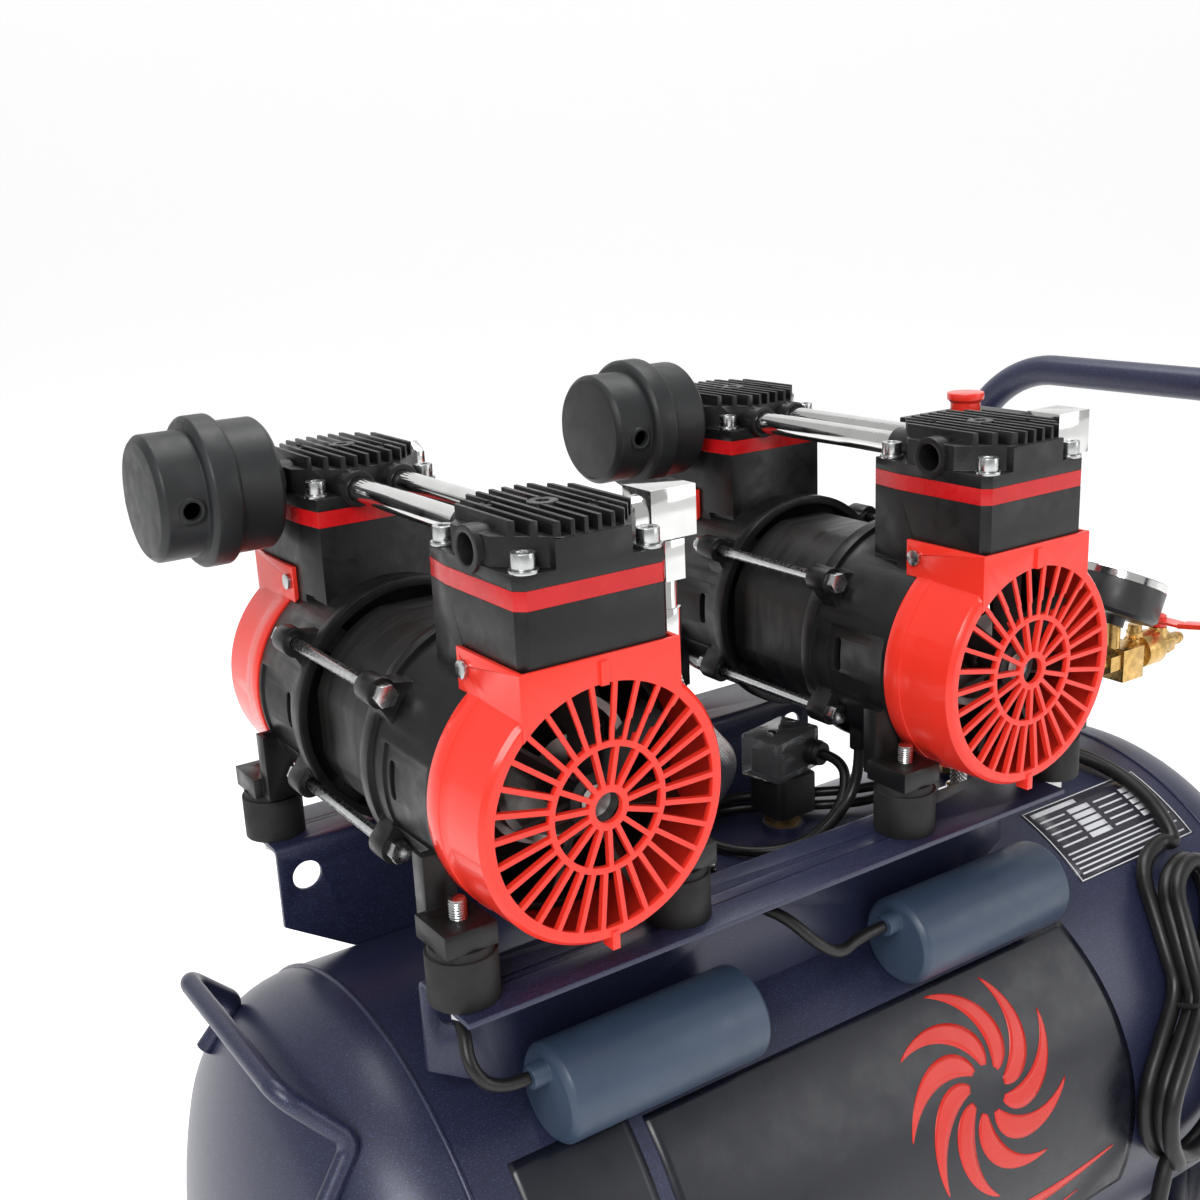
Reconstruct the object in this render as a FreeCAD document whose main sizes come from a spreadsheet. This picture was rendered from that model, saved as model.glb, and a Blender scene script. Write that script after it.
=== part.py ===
"""Air compressor: two twin-cylinder oil-free pumps on a horizontal tank.

+X runs along the tank from the carrying handle to the push handle, -Y is the front,
+Z is up. The origin is on the floor under the middle of the machine. Each pump part is
modelled once as the front half of a pump whose motor axis is the Y axis, and is then
set in its places: the rear half is the front half turned half round about Z.
"""
import FreeCAD
import Part
import math
import os
import re
import Sketcher
from FreeCAD import Placement, Rotation, Vector

SIZES = {
    # tank
    "tank_radius": 169, "tank_wall": 3, "tank_shell": 565.7, "tank_ground_gap": 85,
    "crown_radius": 300, "knuckle_radius": 64, "seam_bead": 1.6, "bung_radius": 13, "bung_rise": 4,
    # where the pumps and rails sit
    "pump_clearance": 134, "pump_spacing": 272.4, "left_pump_offset": 214.15,
    "rail_inner": 87.4, "rail_flange": 44.6, "rail_sheet": 3, "rail_bend": 4.5,
    "rail_top_drop": 84.8, "rail_left_end": 69.5, "rail_right_end": 46, "rail_corner_drop": 47,
    "rail_hole": 8.5, "rail_hole_inset": 16.3, "rail_hole_drop": 19.8, "lead_hole": 6,
    "lead_hole_back": 152,
    # crankcases
    "case_radius": 64, "case_wall": 6, "ring_rim": 3, "ring_rebate": 2, "spigot_step": 2.6,
    "case_back": 36, "ring_end": 44, "case_front": 98, "spigot_front": 106,
    "wall_back": 46, "wall_front": 55, "stator_half": 37.7, "stator_step": 7,
    "stator_flat_step": 9.4, "stator_inner": 31.8, "claw_width": 14,
    "block_half": 38, "block_back": 61.6, "block_front": 142.6, "block_floor": 56, "block_top": 94.5,
    "block_nose": 4, "block_heel": 3, "block_heel_length": 20,
    "bore_centre": 103.3, "bolt_across": 31, "bolt_along": 33.4,
    "lug_out": 61.4, "lug_high": 43, "lug_low": 33.5, "lug_back": 42, "lug_front": 56, "lug_radius": 7.4,
    "slot_along": 60.5, "slot_width": 5, "slot_length": 19, "slot_height": 2.5, "recess_depth": 1.6,
    "recess_front": 95, "recess_back": 54, "recess_low": 22, "recess_high": 19,
    "foot_out": 59.2, "foot_along": 110, "foot_top": 46, "foot_thick": 11, "foot_inner": 47.5,
    "foot_outer": 73.5, "foot_back": 96, "foot_front": 124, "leg_back": 88,
    # plates and heads
    "plate_top": 103, "base_top": 109.5, "head_top": 122.5, "fin_top": 129, "fin_thick": 2.2,
    "fin_pitch": 6.6, "fin_count": 10, "port_height": 115, "port_along": 105, "port_radius": 7,
    "port_collar": 10.5, "port_reach": 40, "tube_out": 12.5, "tube_height": 112.6, "tube_radius": 6.5,
    "tube_wall": 1, "tube_end": 70, "tube_collar": 9.5, "tube_collar_end": 57,
    # moving parts of a pump
    "shaft_radius": 7.5, "shaft_end": 134, "crank_throw": 7, "crank_radius": 17, "crank_front": 111,
    "weight_radius": 34, "weight_back": 85, "weight_front": 93.5,
    "rotor_radius": 31, "rotor_half": 30, "bearing_radius": 17.5, "sleeve_radius": 27,
    "sleeve_bore": 25, "sleeve_foot": 62, "piston_high": 79, "crown_high": 91, "rod_half": 6,
    "eye_inner": 31.6, "eye_outer": 35.5, "eye_back": 98.6, "eye_front": 108,
    "fan_hub": 13, "fan_tip": 50, "fan_back": 117, "fan_front": 133, "fan_blades": 7,
    # fan covers
    "cover_lap": 0.8, "cover_draft": 2.8, "cover_wall": 2.2, "cover_back": 99,
    "cover_step": 110, "cover_face": 144, "grille_thick": 3, "grille_rim": 5.2, "grille_middle": 29,
    "grille_ring": 3, "grille_hub": 10.5, "grille_hole": 7, "spoke": 2.4, "outer_spokes": 30,
    "inner_spokes": 15, "collar_out": 40.6, "collar_gap": 0.3, "collar_top": 69.5, "collar_back": 91,
    "screw_along": 97.4, "screw_height": 60.6,
    # fasteners
    "thread": 3, "thread_gap": 0.05, "tie_radius": 3, "mount_radius": 16.5, "stud_radius": 3.9,
    # silencer
    "silencer_cap": 33, "silencer_flange": 39.5, "silencer_drum": 35, "silencer_wall": 2.5,
    "silencer_face": 111, "inlet_along": 96, "inlet_dip": 5, "flange_face": 87, "drum_face": 70,
    "drum_back": 46,
    # capacitors
    "capacitor_radius": 24.4, "capacitor_length": 118, "capacitor_left": 24, "capacitor_out": 116.2,
    "capacitor_gap": 0.3, "capacitor_right": 71.4,
    # handles, wheels and foot
    "handle_rod": 5.1, "push_radius": 11, "push_wall": 1.5, "push_reach": 347.9, "push_half": 158,
    "push_top": 413, "push_bend": 75, "push_foot": 291, "wheel_radius": 75, "wheel_width": 36,
    "wheel_inner": 143, "wheel_centre": 286, "hub_bore": 8, "axle_radius": 7.94, "bracket_out": 112,
    "bracket_sheet": 4, "foot_centre": 245, "pad_radius": 19, "pad_height": 20, "pad_out": 92,
    # air fittings, measured from the middle of the tank
    "switch_out": 102.6, "switch_half_x": 37, "switch_half_y": 28, "switch_clearance": 138,
    "switch_rise": 105, "knob_radius": 11.3, "knob_neck": 9.2, "knob_rise": 14,
    "gland_back": 23,
    "line_clearance": 46, "outlet_offset": 329.5, "valve_offset": 376, "outlet_reach": 398.85,
    "tail_radius": 5,
    "gauge_radius": 33, "gauge_depth": 30, "gauge_tilt": 24.5,
    "solenoid_offset": 18,
    # cords
    "cord_diameter": 10, "lead_diameter": 6.4, "hose_diameter": 10.4,
    "lead_out": 37, "lead_along": 52, "hank_width": 12, "hank_depth": 27, "hank_gap": 0.6,
}
SIZES["knuckle_out"] = SIZES["tank_radius"] - SIZES["knuckle_radius"]
SIZES["crown_inset"] = math.sqrt((SIZES["crown_radius"] - SIZES["knuckle_radius"]) ** 2
                                 - SIZES["knuckle_out"] ** 2)
SIZES["dome_depth"] = SIZES["crown_radius"] - SIZES["crown_inset"]
SIZES["crown_slope"] = SIZES["knuckle_out"] / (SIZES["crown_radius"] - SIZES["knuckle_radius"])
SIZES["tank_middle"] = (SIZES["tank_shell"] / 2 + SIZES["dome_depth"] - SIZES["outlet_reach"]) / 2
SIZES["tank_height"] = SIZES["tank_ground_gap"] + SIZES["tank_radius"]
SIZES["pump_rise"] = SIZES["tank_radius"] + SIZES["pump_clearance"]
SIZES["line_rise"] = SIZES["tank_radius"] + SIZES["line_clearance"]
SIZES["switch_low"] = SIZES["tank_height"] + SIZES["tank_radius"] + SIZES["switch_clearance"]
SIZES["pump_height"] = SIZES["tank_height"] + SIZES["pump_rise"]
SIZES["capacitor_height"] = SIZES["tank_height"] + math.sqrt(
    (SIZES["tank_radius"] + SIZES["capacitor_radius"] + SIZES["capacitor_gap"]) ** 2
    - SIZES["capacitor_out"] ** 2)
SIZES["left_pump"] = SIZES["tank_middle"] - SIZES["left_pump_offset"]
SIZES["right_pump"] = SIZES["left_pump"] + SIZES["pump_spacing"]
SIZES["switch_offset"] = SIZES["pump_spacing"] - SIZES["left_pump_offset"] + SIZES["switch_out"]
SIZES["case_inner"] = SIZES["case_radius"] - SIZES["case_wall"]
SIZES["ring_radius"] = SIZES["case_radius"] + SIZES["ring_rim"]
SIZES["ring_inner"] = SIZES["case_radius"] - SIZES["ring_rebate"]
SIZES["spigot_radius"] = SIZES["case_radius"] - SIZES["spigot_step"]
SIZES["stator_radius"] = SIZES["case_radius"] - SIZES["stator_step"]
SIZES["stator_flat"] = SIZES["case_radius"] - SIZES["stator_flat_step"]
SIZES["cover_radius"] = SIZES["case_radius"] + SIZES["cover_lap"]
SIZES["cover_face_radius"] = SIZES["cover_radius"] - SIZES["cover_draft"]

doc = FreeCAD.newDocument("air_compressor")
sheet = doc.addObject("Spreadsheet::Sheet", "sizes")
for row, (alias, amount) in enumerate(SIZES.items(), start=1):
    sheet.set(f"A{row}", alias)
    sheet.set(f"B{row}", str(amount))
    sheet.setAlias(f"B{row}", alias)
doc.recompute()

FRONT = 0
REAR = 180
X_WAY = Vector(1, 0, 0)
Y_WAY = Vector(0, 1, 0)
Z_WAY = Vector(0, 0, 1)
NODES = []


# ---- sizes as expressions and as numbers ----

def cells(text):
    """The sum written in text, with each size's name made a reference to its cell."""
    return re.sub(r"[a-z]\w*", lambda found: "sizes." + found.group(), text)


def number(text):
    """The value of a sum of products of named sizes and plain numbers."""
    total = 0.0
    for sign, term in re.findall(r"([+-]?)\s*([^+-]+)", text):
        product = 1.0
        for operator, factor in re.findall(r"([*/]?)\s*([\w.]+)", term):
            amount = SIZES[factor] if factor in SIZES else float(factor)
            product = product / amount if operator == "/" else product * amount
        total += -product if sign == "-" else product
    return total


def bind(thing, **sums):
    """Tie properties of an object to sums of named sizes."""
    for name, text in sums.items():
        thing.setExpression(name, cells(text))
    return thing


def place(thing, x="0", y="0", z="0", turn=None):
    """Tie an object's position to the sheet; turn is its Rotation."""
    if turn is not None:
        thing.Placement = Placement(Vector(), turn)
    for axis, text in zip("xyz", (x, y, z)):
        if text != "0":
            thing.setExpression("Placement.Base." + axis, cells(text))
    return thing


# ---- plain pieces ----

TURN = {"X": Rotation(Z_WAY, X_WAY), "Y": Rotation(Z_WAY, Y_WAY), "Z": Rotation()}


def rod(along, radius, start, end, x="0", y="0", z="0"):
    """A round bar along X, Y or Z from start to end."""
    bar = bind(doc.addObject("Part::Cylinder", "rod"), Radius=radius, Height=f"{end} - ({start})")
    at = {"X": x, "Y": y, "Z": z}
    at[along] = start
    return place(bar, at["X"], at["Y"], at["Z"], TURN[along])


def taper(along, start_radius, end_radius, start, end, x="0", y="0", z="0"):
    """A cone frustum along X, Y or Z from start to end."""
    bar = bind(doc.addObject("Part::Cone", "taper"), Radius1=start_radius, Radius2=end_radius,
               Height=f"{end} - ({start})")
    at = {"X": x, "Y": y, "Z": z}
    at[along] = start
    return place(bar, at["X"], at["Y"], at["Z"], TURN[along])


def block(x0, x1, y0, y1, z0, z1):
    """A box between two corners."""
    box = bind(doc.addObject("Part::Box", "block"), Length=f"{x1} - ({x0})",
               Width=f"{y1} - ({y0})", Height=f"{z1} - ({z0})")
    return place(box, x0, y0, z0)


def hexagon(across, start, end, along="Z", x="0", y="0", z="0"):
    """A hexagonal bar; across is the distance over its flats in millimetres."""
    bar = bind(doc.addObject("Part::Prism", "hexagon"), Height=f"{end} - ({start})")
    bar.Polygon = 6
    bar.Circumradius = across / math.sqrt(3)
    at = {"X": x, "Y": y, "Z": z}
    at[along] = start
    return place(bar, at["X"], at["Y"], at["Z"], TURN[along])


def join(*pieces):
    """One solid from pieces that touch or overlap."""
    whole = doc.addObject("Part::MultiFuse", "join")
    whole.Shapes = list(pieces)
    return whole


def cut(base, *tools):
    """The base without the tools."""
    rest = doc.addObject("Part::Cut", "cut")
    rest.Base = base
    rest.Tool = tools[0] if len(tools) == 1 else join(*tools)
    return rest


def common(first, second):
    """What two pieces share."""
    shared = doc.addObject("Part::Common", "common")
    shared.Base = first
    shared.Tool = second
    return shared


def ring(along, outer, inner, start, end, x="0", y="0", z="0"):
    """A tube along X, Y or Z."""
    return cut(rod(along, outer, start, end, x, y, z), rod(along, inner, start, end, x, y, z))


def copies(name, piece, spots):
    """A group of copies of a piece; each spot is (x, y, z, Rotation)."""
    group = doc.addObject("Part::Compound", name)
    placed = []
    for x, y, z, turn in spots:
        one = doc.addObject("Part::Compound", name + "_one")
        one.Links = [piece]
        placed.append(place(one, x, y, z, turn))
    group.Links = placed
    return group


def about(axis, angle):
    """A rotation about an axis by an angle in degrees."""
    return Rotation(axis, angle)


def origin_plane(body, role):
    """The body's own origin plane with that role."""
    return next(item for item in body.Origin.OriginFeatures if item.Role == role)


def outline(name, corners, low, high):
    """A plate with a polygon outline in the XY plane, from height low to height high."""
    body = doc.addObject("PartDesign::Body", name)
    sketch = body.newObject("Sketcher::SketchObject", name + "_sketch")
    sketch.AttachmentSupport = (origin_plane(body, "XY_Plane"), [""])
    sketch.MapMode = "FlatFace"
    points = [Vector(number(x), number(y), 0) for x, y in corners]
    count = len(points)
    for index in range(count):
        sketch.addGeometry(Part.LineSegment(points[index], points[(index + 1) % count]), False)
    for index in range(count):
        sketch.addConstraint(Sketcher.Constraint("Coincident", index, 2, (index + 1) % count, 1))
    for index, (x, y) in enumerate(corners):
        for kind, text in (("DistanceX", x), ("DistanceY", y)):
            label = f"{kind}_{index}"
            at = sketch.addConstraint(Sketcher.Constraint(kind, -1, 1, index, 1, number(text)))
            sketch.renameConstraint(at, label)
            sketch.setExpression("Constraints." + label, cells(text))
    pad = bind(body.newObject("PartDesign::Pad", name + "_pad"), Length=f"{high} - ({low})")
    pad.Profile = sketch
    sketch.Visibility = False
    return place(body, z=low)


# ---- finished nodes ----

def node(label, piece):
    """Name a finished sub-part."""
    piece.Label = label
    NODES.append(piece)
    return piece


def pump_spots(side=None):
    """Places of a pump part: on both pumps, at the front, the rear or both."""
    turns = (FRONT, REAR) if side is None else (side,)
    return [(pump, "0", "pump_height", about(Z_WAY, turn))
            for pump in ("left_pump", "right_pump") for turn in turns]


def on_pump(label, piece, pump, side=FRONT):
    """A pump part in its place on one pump, as a node."""
    return node(label, copies(label, piece, [(pump, "0", "pump_height", about(Z_WAY, side))]))


# ---- castings of a pump ----

BLOCK_OUTLINE = [
    ("-block_half", "block_nose - block_front"), ("block_nose - block_half", "-block_front"),
    ("block_half - block_nose", "-block_front"), ("block_half", "block_nose - block_front"),
    ("block_half", "-block_back - block_heel_length"), ("block_half - block_heel", "-block_back"),
    ("block_heel - block_half", "-block_back"), ("-block_half", "-block_back - block_heel_length"),
]


def bolt_rods(radius, low, high):
    """The four upright bolt positions round a cylinder."""
    return [rod("Z", radius, low, high, x=f"{sx}bolt_across", y=f"-bore_centre {sy} bolt_along")
            for sx in ("", "-") for sy in ("+", "-")]


def crankcase():
    """Barrel, cylinder block, lugs, legs and feet of one casting."""
    parts = [
        rod("Y", "case_radius", "-case_front", "-case_back"),
        rod("Y", "ring_radius", "-ring_end", "-case_back"),
        rod("Y", "spigot_radius", "-spigot_front", "-case_front"),
        outline("cylinder_block", BLOCK_OUTLINE, "block_floor", "block_top"),
        block("-block_half", "block_half", "-case_front", "-block_back - block_heel_length", "20",
              "block_floor + 1"),
        block("block_heel - block_half", "block_half - block_heel", "-block_back - block_heel_length",
              "-block_back", "20", "block_floor + 1"),
    ]
    holes = [
        rod("Y", "case_inner", "-spigot_front - 1", "-wall_front"),
        cut(rod("Y", "ring_inner", "-wall_back", "-case_back + 1"), *claws()),
        rod("Y", "bearing_radius + 0.02", "-wall_front - 1", "-wall_back + 1"),
        rod("Z", "sleeve_radius + 0.05", "40", "block_top + 1", y="-bore_centre"),
        *bolt_rods("thread + thread_gap", "70", "block_top + 1"),
    ]
    recess = common(ring("Y", "case_radius + 5", "case_radius - recess_depth", "-recess_front",
                         "-recess_back"),
                    block("-case_radius - 6", "case_radius + 6", "-recess_front", "-recess_back",
                          "-recess_low", "recess_high"))
    holes.append(recess)
    for way in ("", "-"):
        for height in ("lug_high", "-lug_low"):
            parts.append(rod("Y", "lug_radius", "-lug_front", "-lug_back", x=way + "lug_out", z=height))
            holes.append(rod("Y", "tie_radius + 0.3", "-lug_front - 1", "-case_back + 1",
                             x=way + "lug_out", z=height))
        x0, x1 = ("foot_inner", "foot_outer") if way == "" else ("-foot_outer", "-foot_inner")
        parts.append(block(x0, x1, "-foot_front", "-foot_back", "-foot_top - foot_thick", "-foot_top"))
        x0, x1 = ("foot_inner + 5", "foot_outer - 5") if way == "" else \
            ("5 - foot_outer", "-foot_inner - 5")
        parts.append(block(x0, x1, "-case_front", "-leg_back", "-foot_top - foot_thick", "-20"))
        holes.append(rod("Z", "stud_radius + 0.3", "-foot_top - foot_thick - 1", "-foot_top + 1",
                         x=way + "foot_out", y="-foot_along"))
        x0, x1 = ("ring_inner - 10", "case_radius + 6") if way == "" else \
            ("-case_radius - 6", "10 - ring_inner")
        holes += [block(x0, x1, "-slot_along - slot_width / 2", "slot_width / 2 - slot_along",
                        "slot_height - slot_length / 2 + slot_width / 2",
                        "slot_height + slot_length / 2 - slot_width / 2"),
                  rod("X", "slot_width / 2", x0, x1, y="-slot_along",
                      z="slot_height + slot_length / 2 - slot_width / 2"),
                  rod("X", "slot_width / 2", x0, x1, y="-slot_along",
                      z="slot_height - slot_length / 2 + slot_width / 2")]
        x0, x1 = ("block_half - 12", "block_half + 1") if way == "" else \
            ("-block_half - 1", "12 - block_half")
        holes.append(rod("X", "1.95 + thread_gap", x0, x1, y="-screw_along", z="screw_height"))
    parts.append(rod("Z", "5.5", "-62", "-48", x="-lead_out", y="-lead_along"))
    gussets = [lug_gusset(angle) for angle in (lug_angle("lug_high"), -lug_angle("lug_low"))]
    gussets += [lug_gusset(180 - lug_angle("lug_high")), lug_gusset(180 + lug_angle("lug_low"))]
    return cut(join(*parts, *gussets), *holes)


def claws():
    """The four ribs inside a casting that stop the stator."""
    claw = block("-claw_width / 2", "claw_width / 2", "-wall_back - 1", "-stator_half - 0.3",
                 "stator_radius - 3", "ring_inner + 3")
    turned = [("0", "0", "0", about(Y_WAY, turn)) for turn in (45, 135, 225, 315)]
    return list(copies("claws", claw, turned).Links)


def lug_angle(height):
    """Angle of a tie bolt above the level plane through the motor axis, in degrees."""
    return math.degrees(math.atan2(SIZES[height], SIZES["lug_out"]))


def lug_gusset(angle):
    """The web from the barrel to a lug, at an angle about the motor axis."""
    corners = [("case_radius - 5", "13"), ("lug_out + 14", "5"), ("lug_out + 14", "-5"),
               ("case_radius - 5", "-13")]
    web = outline("lug_web", corners, "lug_back", "lug_front")
    upright = Rotation(X_WAY, 90)
    around = Rotation(Y_WAY, -angle)
    turned = doc.addObject("Part::Compound", "lug_web_turned")
    turned.Links = [web]
    turned.Placement = Placement(Vector(), around.multiply(upright))
    return turned


def head():
    """Finned cylinder head with side ports and tube sockets."""
    octagon = [("37", "16"), ("15", "39.2"), ("-15", "39.2"), ("-37", "16"), ("-37", "-16"),
               ("-15", "-39.2"), ("15", "-39.2"), ("37", "-16")]
    centred = [(x, f"{y} - bore_centre") for x, y in octagon]
    lobes = [outline("head_body", centred, "base_top - 1", "head_top"),
             outline("head_base", BLOCK_OUTLINE, "plate_top", "base_top"),
             block("-19", "19", "-block_front", "-block_front + 14", "base_top - 1", "head_top - 0.5")]
    for way in ("", "-"):
        ends = ("20", "port_reach") if way == "" else ("-port_reach", "-20")
        lobes.append(rod("X", "port_collar", *ends, y="-port_along", z="port_height"))
        lobes.append(rod("Y", "tube_collar", "-80", "-tube_collar_end", x=way + "tube_out",
                         z="tube_height"))
    fins = [block(f"{place_of} * fin_pitch - fin_thick / 2", f"{place_of} * fin_pitch + fin_thick / 2",
                  "-bore_centre - 40", "40 - bore_centre", "head_top - 1", "fin_top")
            for place_of in fin_places()]
    trimmed = common(join(*fins), outline("fin_field", centred, "head_top - 1", "fin_top"))
    bosses = [rod("Z", "7", "head_top - 1", "fin_top + 0.3", y="-bore_centre"),
              rod("Z", "4.5", "head_top - 1", "fin_top - 1", x="-17", y="17 - bore_centre"),
              rod("Z", "4.5", "head_top - 1", "fin_top - 1", x="17", y="-17 - bore_centre")]
    holes = [*bolt_rods("thread + 0.3", "plate_top - 1", "base_top + 1"),
             *bolt_rods("6.9", "base_top", "fin_top + 2"),
             rod("Z", "3", "fin_top - 5", "fin_top + 1", y="-bore_centre"),
             rod("Z", "1.4", "fin_top - 5", "fin_top + 1", x="-17", y="17 - bore_centre"),
             rod("Z", "1.4", "fin_top - 5", "fin_top + 1", x="17", y="-17 - bore_centre"),
             block("2", "24", "-block_front + 16", "-block_back - 16", "plate_top - 1", "head_top - 4"),
             block("-24", "-2", "-block_front + 16", "-block_back - 16", "plate_top - 1",
                   "head_top - 4")]
    for way in ("", "-"):
        ends = ("16", "port_reach + 1") if way == "" else ("-port_reach - 1", "-16")
        holes.append(rod("X", "port_radius", *ends, y="-port_along", z="port_height"))
        holes.append(rod("Y", "tube_radius + 0.1", "-82", "-tube_collar_end + 1", x=way + "tube_out",
                         z="tube_height"))
    return cut(join(*lobes, trimmed, *bosses), *holes)


def fin_places():
    """Middle of each fin in fin pitches, as signed numbers in words."""
    count = SIZES["fin_count"]
    return [f"{index - (count - 1) / 2:+.1f}".replace("+", "") for index in range(count)]


def valve_plate():
    """Coloured spacer plate between block and head, with bolt and valve holes."""
    plate = outline("valve_plate", BLOCK_OUTLINE, "block_top", "plate_top")
    ports = [rod("Z", "3", "block_top - 1", "plate_top + 1", x=x, y=f"{y} - bore_centre")
             for x in ("10", "-10") for y in ("6", "-6")]
    return cut(plate, *bolt_rods("thread + 0.3", "block_top - 1", "plate_top + 1"), *ports)


def fan_cover():
    """Perforated cover: shroud, grille and the collar round the cylinder block."""
    shell = join(rod("Y", "cover_radius", "-cover_step", "-cover_back"),
                 taper("Y", "cover_face_radius + 1.4", "cover_radius - 0.4", "-cover_face + 2.5",
                       "-cover_step"),
                 taper("Y", "cover_face_radius - 0.6", "cover_face_radius + 1.4", "-cover_face",
                       "-cover_face + 2.5"),
                 block("-collar_out", "collar_out", "-cover_face - 0.6", "-collar_back", "38",
                       "collar_top"))
    inside = join(rod("Y", "cover_radius - cover_wall - 0.5", "-cover_face + grille_thick",
                      "-cover_back + 1"),
                  block("-block_half - collar_gap", "block_half + collar_gap",
                        "-block_front - collar_gap", "-collar_back + 1", "30", "collar_top + 1"),
                  rod("Y", "case_radius + 0.35", "-cover_back", "-collar_back + 1"))
    openings = cut(rod("Y", "cover_face_radius - grille_rim", "-cover_face - 1",
                       "-cover_face + grille_thick + 0.5"), grille())
    screws = rod("X", "2.3", "-collar_out - 1", "collar_out + 1", y="-screw_along", z="screw_height")
    rib = block("-2", "2", "-cover_face - 2", "-block_front - collar_gap",
                "cover_face_radius - grille_rim - 0.5", "cover_radius + 2.5")
    tab = block("-2", "2", "-cover_face - 1", "-cover_face + 7", "-cover_radius - 3",
                "-cover_radius + 6")
    return join(cut(shell, inside, openings, screws), rib, tab)


def grille():
    """The solid part of the grille inside its rim: spokes, middle ring and hub."""
    face = ("-cover_face - 1", "-cover_face + grille_thick + 1")
    outer = block("-spoke / 2", "spoke / 2", *face, "grille_middle", "cover_face_radius")
    inner = block("-spoke / 2", "spoke / 2", *face, "grille_hub - 1", "grille_middle")
    spokes = [*spread(outer, "outer_spokes"), *spread(inner, "inner_spokes")]
    middle = ring("Y", "grille_middle + grille_ring / 2", "grille_middle - grille_ring / 2", *face)
    hub = ring("Y", "grille_hub", "grille_hole", *face)
    return join(middle, hub, *spokes)


def spread(piece, count_name):
    """Copies of a piece evenly round the motor axis, half a step off the top."""
    count = SIZES[count_name]
    step = 360 / count
    return list(copies(count_name, piece, [("0", "0", "0", about(Y_WAY, step * (index + 0.5)))
                                           for index in range(count)]).Links)


def silencer():
    """Hollow intake silencer on the rear head, with its neck and side inlet."""
    solid = join(rod("X", "silencer_cap", "-silencer_face + 3", "-flange_face"),
                 taper("X", "silencer_cap - 3", "silencer_cap", "-silencer_face",
                       "-silencer_face + 3"),
                 rod("X", "silencer_flange", "-flange_face + 2.5", "-drum_face - 2.5"),
                 taper("X", "silencer_flange - 2.5", "silencer_flange", "-flange_face",
                       "-flange_face + 2.5"),
                 taper("X", "silencer_flange", "silencer_flange - 2.5", "-drum_face - 2.5",
                       "-drum_face"),
                 rod("X", "silencer_drum", "-drum_face", "-drum_back - 3"),
                 taper("X", "silencer_drum", "silencer_drum - 3", "-drum_back - 3", "-drum_back"),
                 rod("X", "port_collar", "-drum_back", "-port_reach"),
                 rod("X", "port_radius - 0.05", "-port_reach - 1", "-26"))
    hollow = join(rod("X", "silencer_cap - silencer_wall", "-silencer_face + silencer_wall",
                      "-drum_back - silencer_wall"),
                  rod("X", "4.5", "-drum_back - 4", "-25"))
    tilt = Rotation(X_WAY, SIZES["inlet_dip"])
    collar = doc.addObject("Part::Compound", "inlet_collar")
    collar.Links = [rod("Y", "6.8", "-silencer_cap - 1.6", "-silencer_cap + 2")]
    collar.Placement = Placement(Vector(), tilt)
    mouth = doc.addObject("Part::Compound", "inlet_mouth")
    mouth.Links = [rod("Y", "4.5", "-silencer_cap - 3", "-silencer_cap + 6")]
    mouth.Placement = Placement(Vector(), tilt)
    collar_set = copies("inlet_collar_set", collar, [("-inlet_along", "0", "0", Rotation())])
    mouth_set = copies("inlet_mouth_set", mouth, [("-inlet_along", "0", "0", Rotation())])
    return cut(join(solid, collar_set.Links[0]), hollow, mouth_set.Links[0])


# ---- inside a pump ----

def stator():
    """Laminated core with flats, and its two end windings."""
    flats = [block("-stator_flat", "stator_flat", "-stator_half", "stator_half", "-70", "70"),
             block("-70", "70", "-stator_half", "stator_half", "-stator_flat", "stator_flat")]
    core = common(common(rod("Y", "stator_radius", "-stator_half", "stator_half"), flats[0]), flats[1])
    windings = ring("Y", "50", "36", "-wall_back + 1", "wall_back - 1")
    return cut(join(core, windings), rod("Y", "stator_inner", "-wall_back", "wall_back"))


def rotor_core():
    """Squirrel-cage rotor on the shaft."""
    return cut(join(rod("Y", "rotor_radius", "-rotor_half", "rotor_half"),
                    rod("Y", "rotor_radius - 3", "-rotor_half - 5", "rotor_half + 5")),
               rod("Y", "shaft_radius", "-rotor_half - 6", "rotor_half + 6"))


def crank(way):
    """Eccentric with its counterweight; way is '' for upwards and '-' for downwards."""
    throw = way + "crank_throw"
    disc = rod("Y", "crank_radius", "-crank_front", "-weight_front + 1", z=throw)
    plate = rod("Y", "weight_radius", "-weight_front", "-weight_back")
    half = block("-weight_radius - 1", "weight_radius + 1", "-weight_front - 1", "-weight_back + 1",
                 *(("-weight_radius - 1", "9") if way == "" else ("-9", "weight_radius + 1")))
    return cut(join(disc, common(plate, half)),
               rod("Y", "shaft_radius", "-crank_front - 1", "-weight_back + 1"))


def fan():
    """Cooling fan: a hub and flat blades set at an angle."""
    hub = rod("Y", "fan_hub", "-fan_front", "-fan_back")
    blade = block("-1", "1", "-fan_front + 1", "-fan_back - 1", "fan_hub - 2", "fan_tip")
    count = SIZES["fan_blades"]
    blades = []
    for index in range(count):
        pitched = doc.addObject("Part::Compound", "pitched_blade")
        pitched.Links = [blade]
        middle = number("-fan_front / 2 - fan_back / 2")
        pitched.Placement = Placement(Vector(), about(Z_WAY, 32), Vector(0, middle, 0))
        spin = doc.addObject("Part::Compound", "blade")
        spin.Links = [pitched]
        spin.Placement = Placement(Vector(), about(Y_WAY, 360 / count * index))
        blades.append(spin)
    return cut(join(hub, *blades), rod("Y", "shaft_radius", "-fan_front - 1", "-fan_back + 1"))


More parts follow.
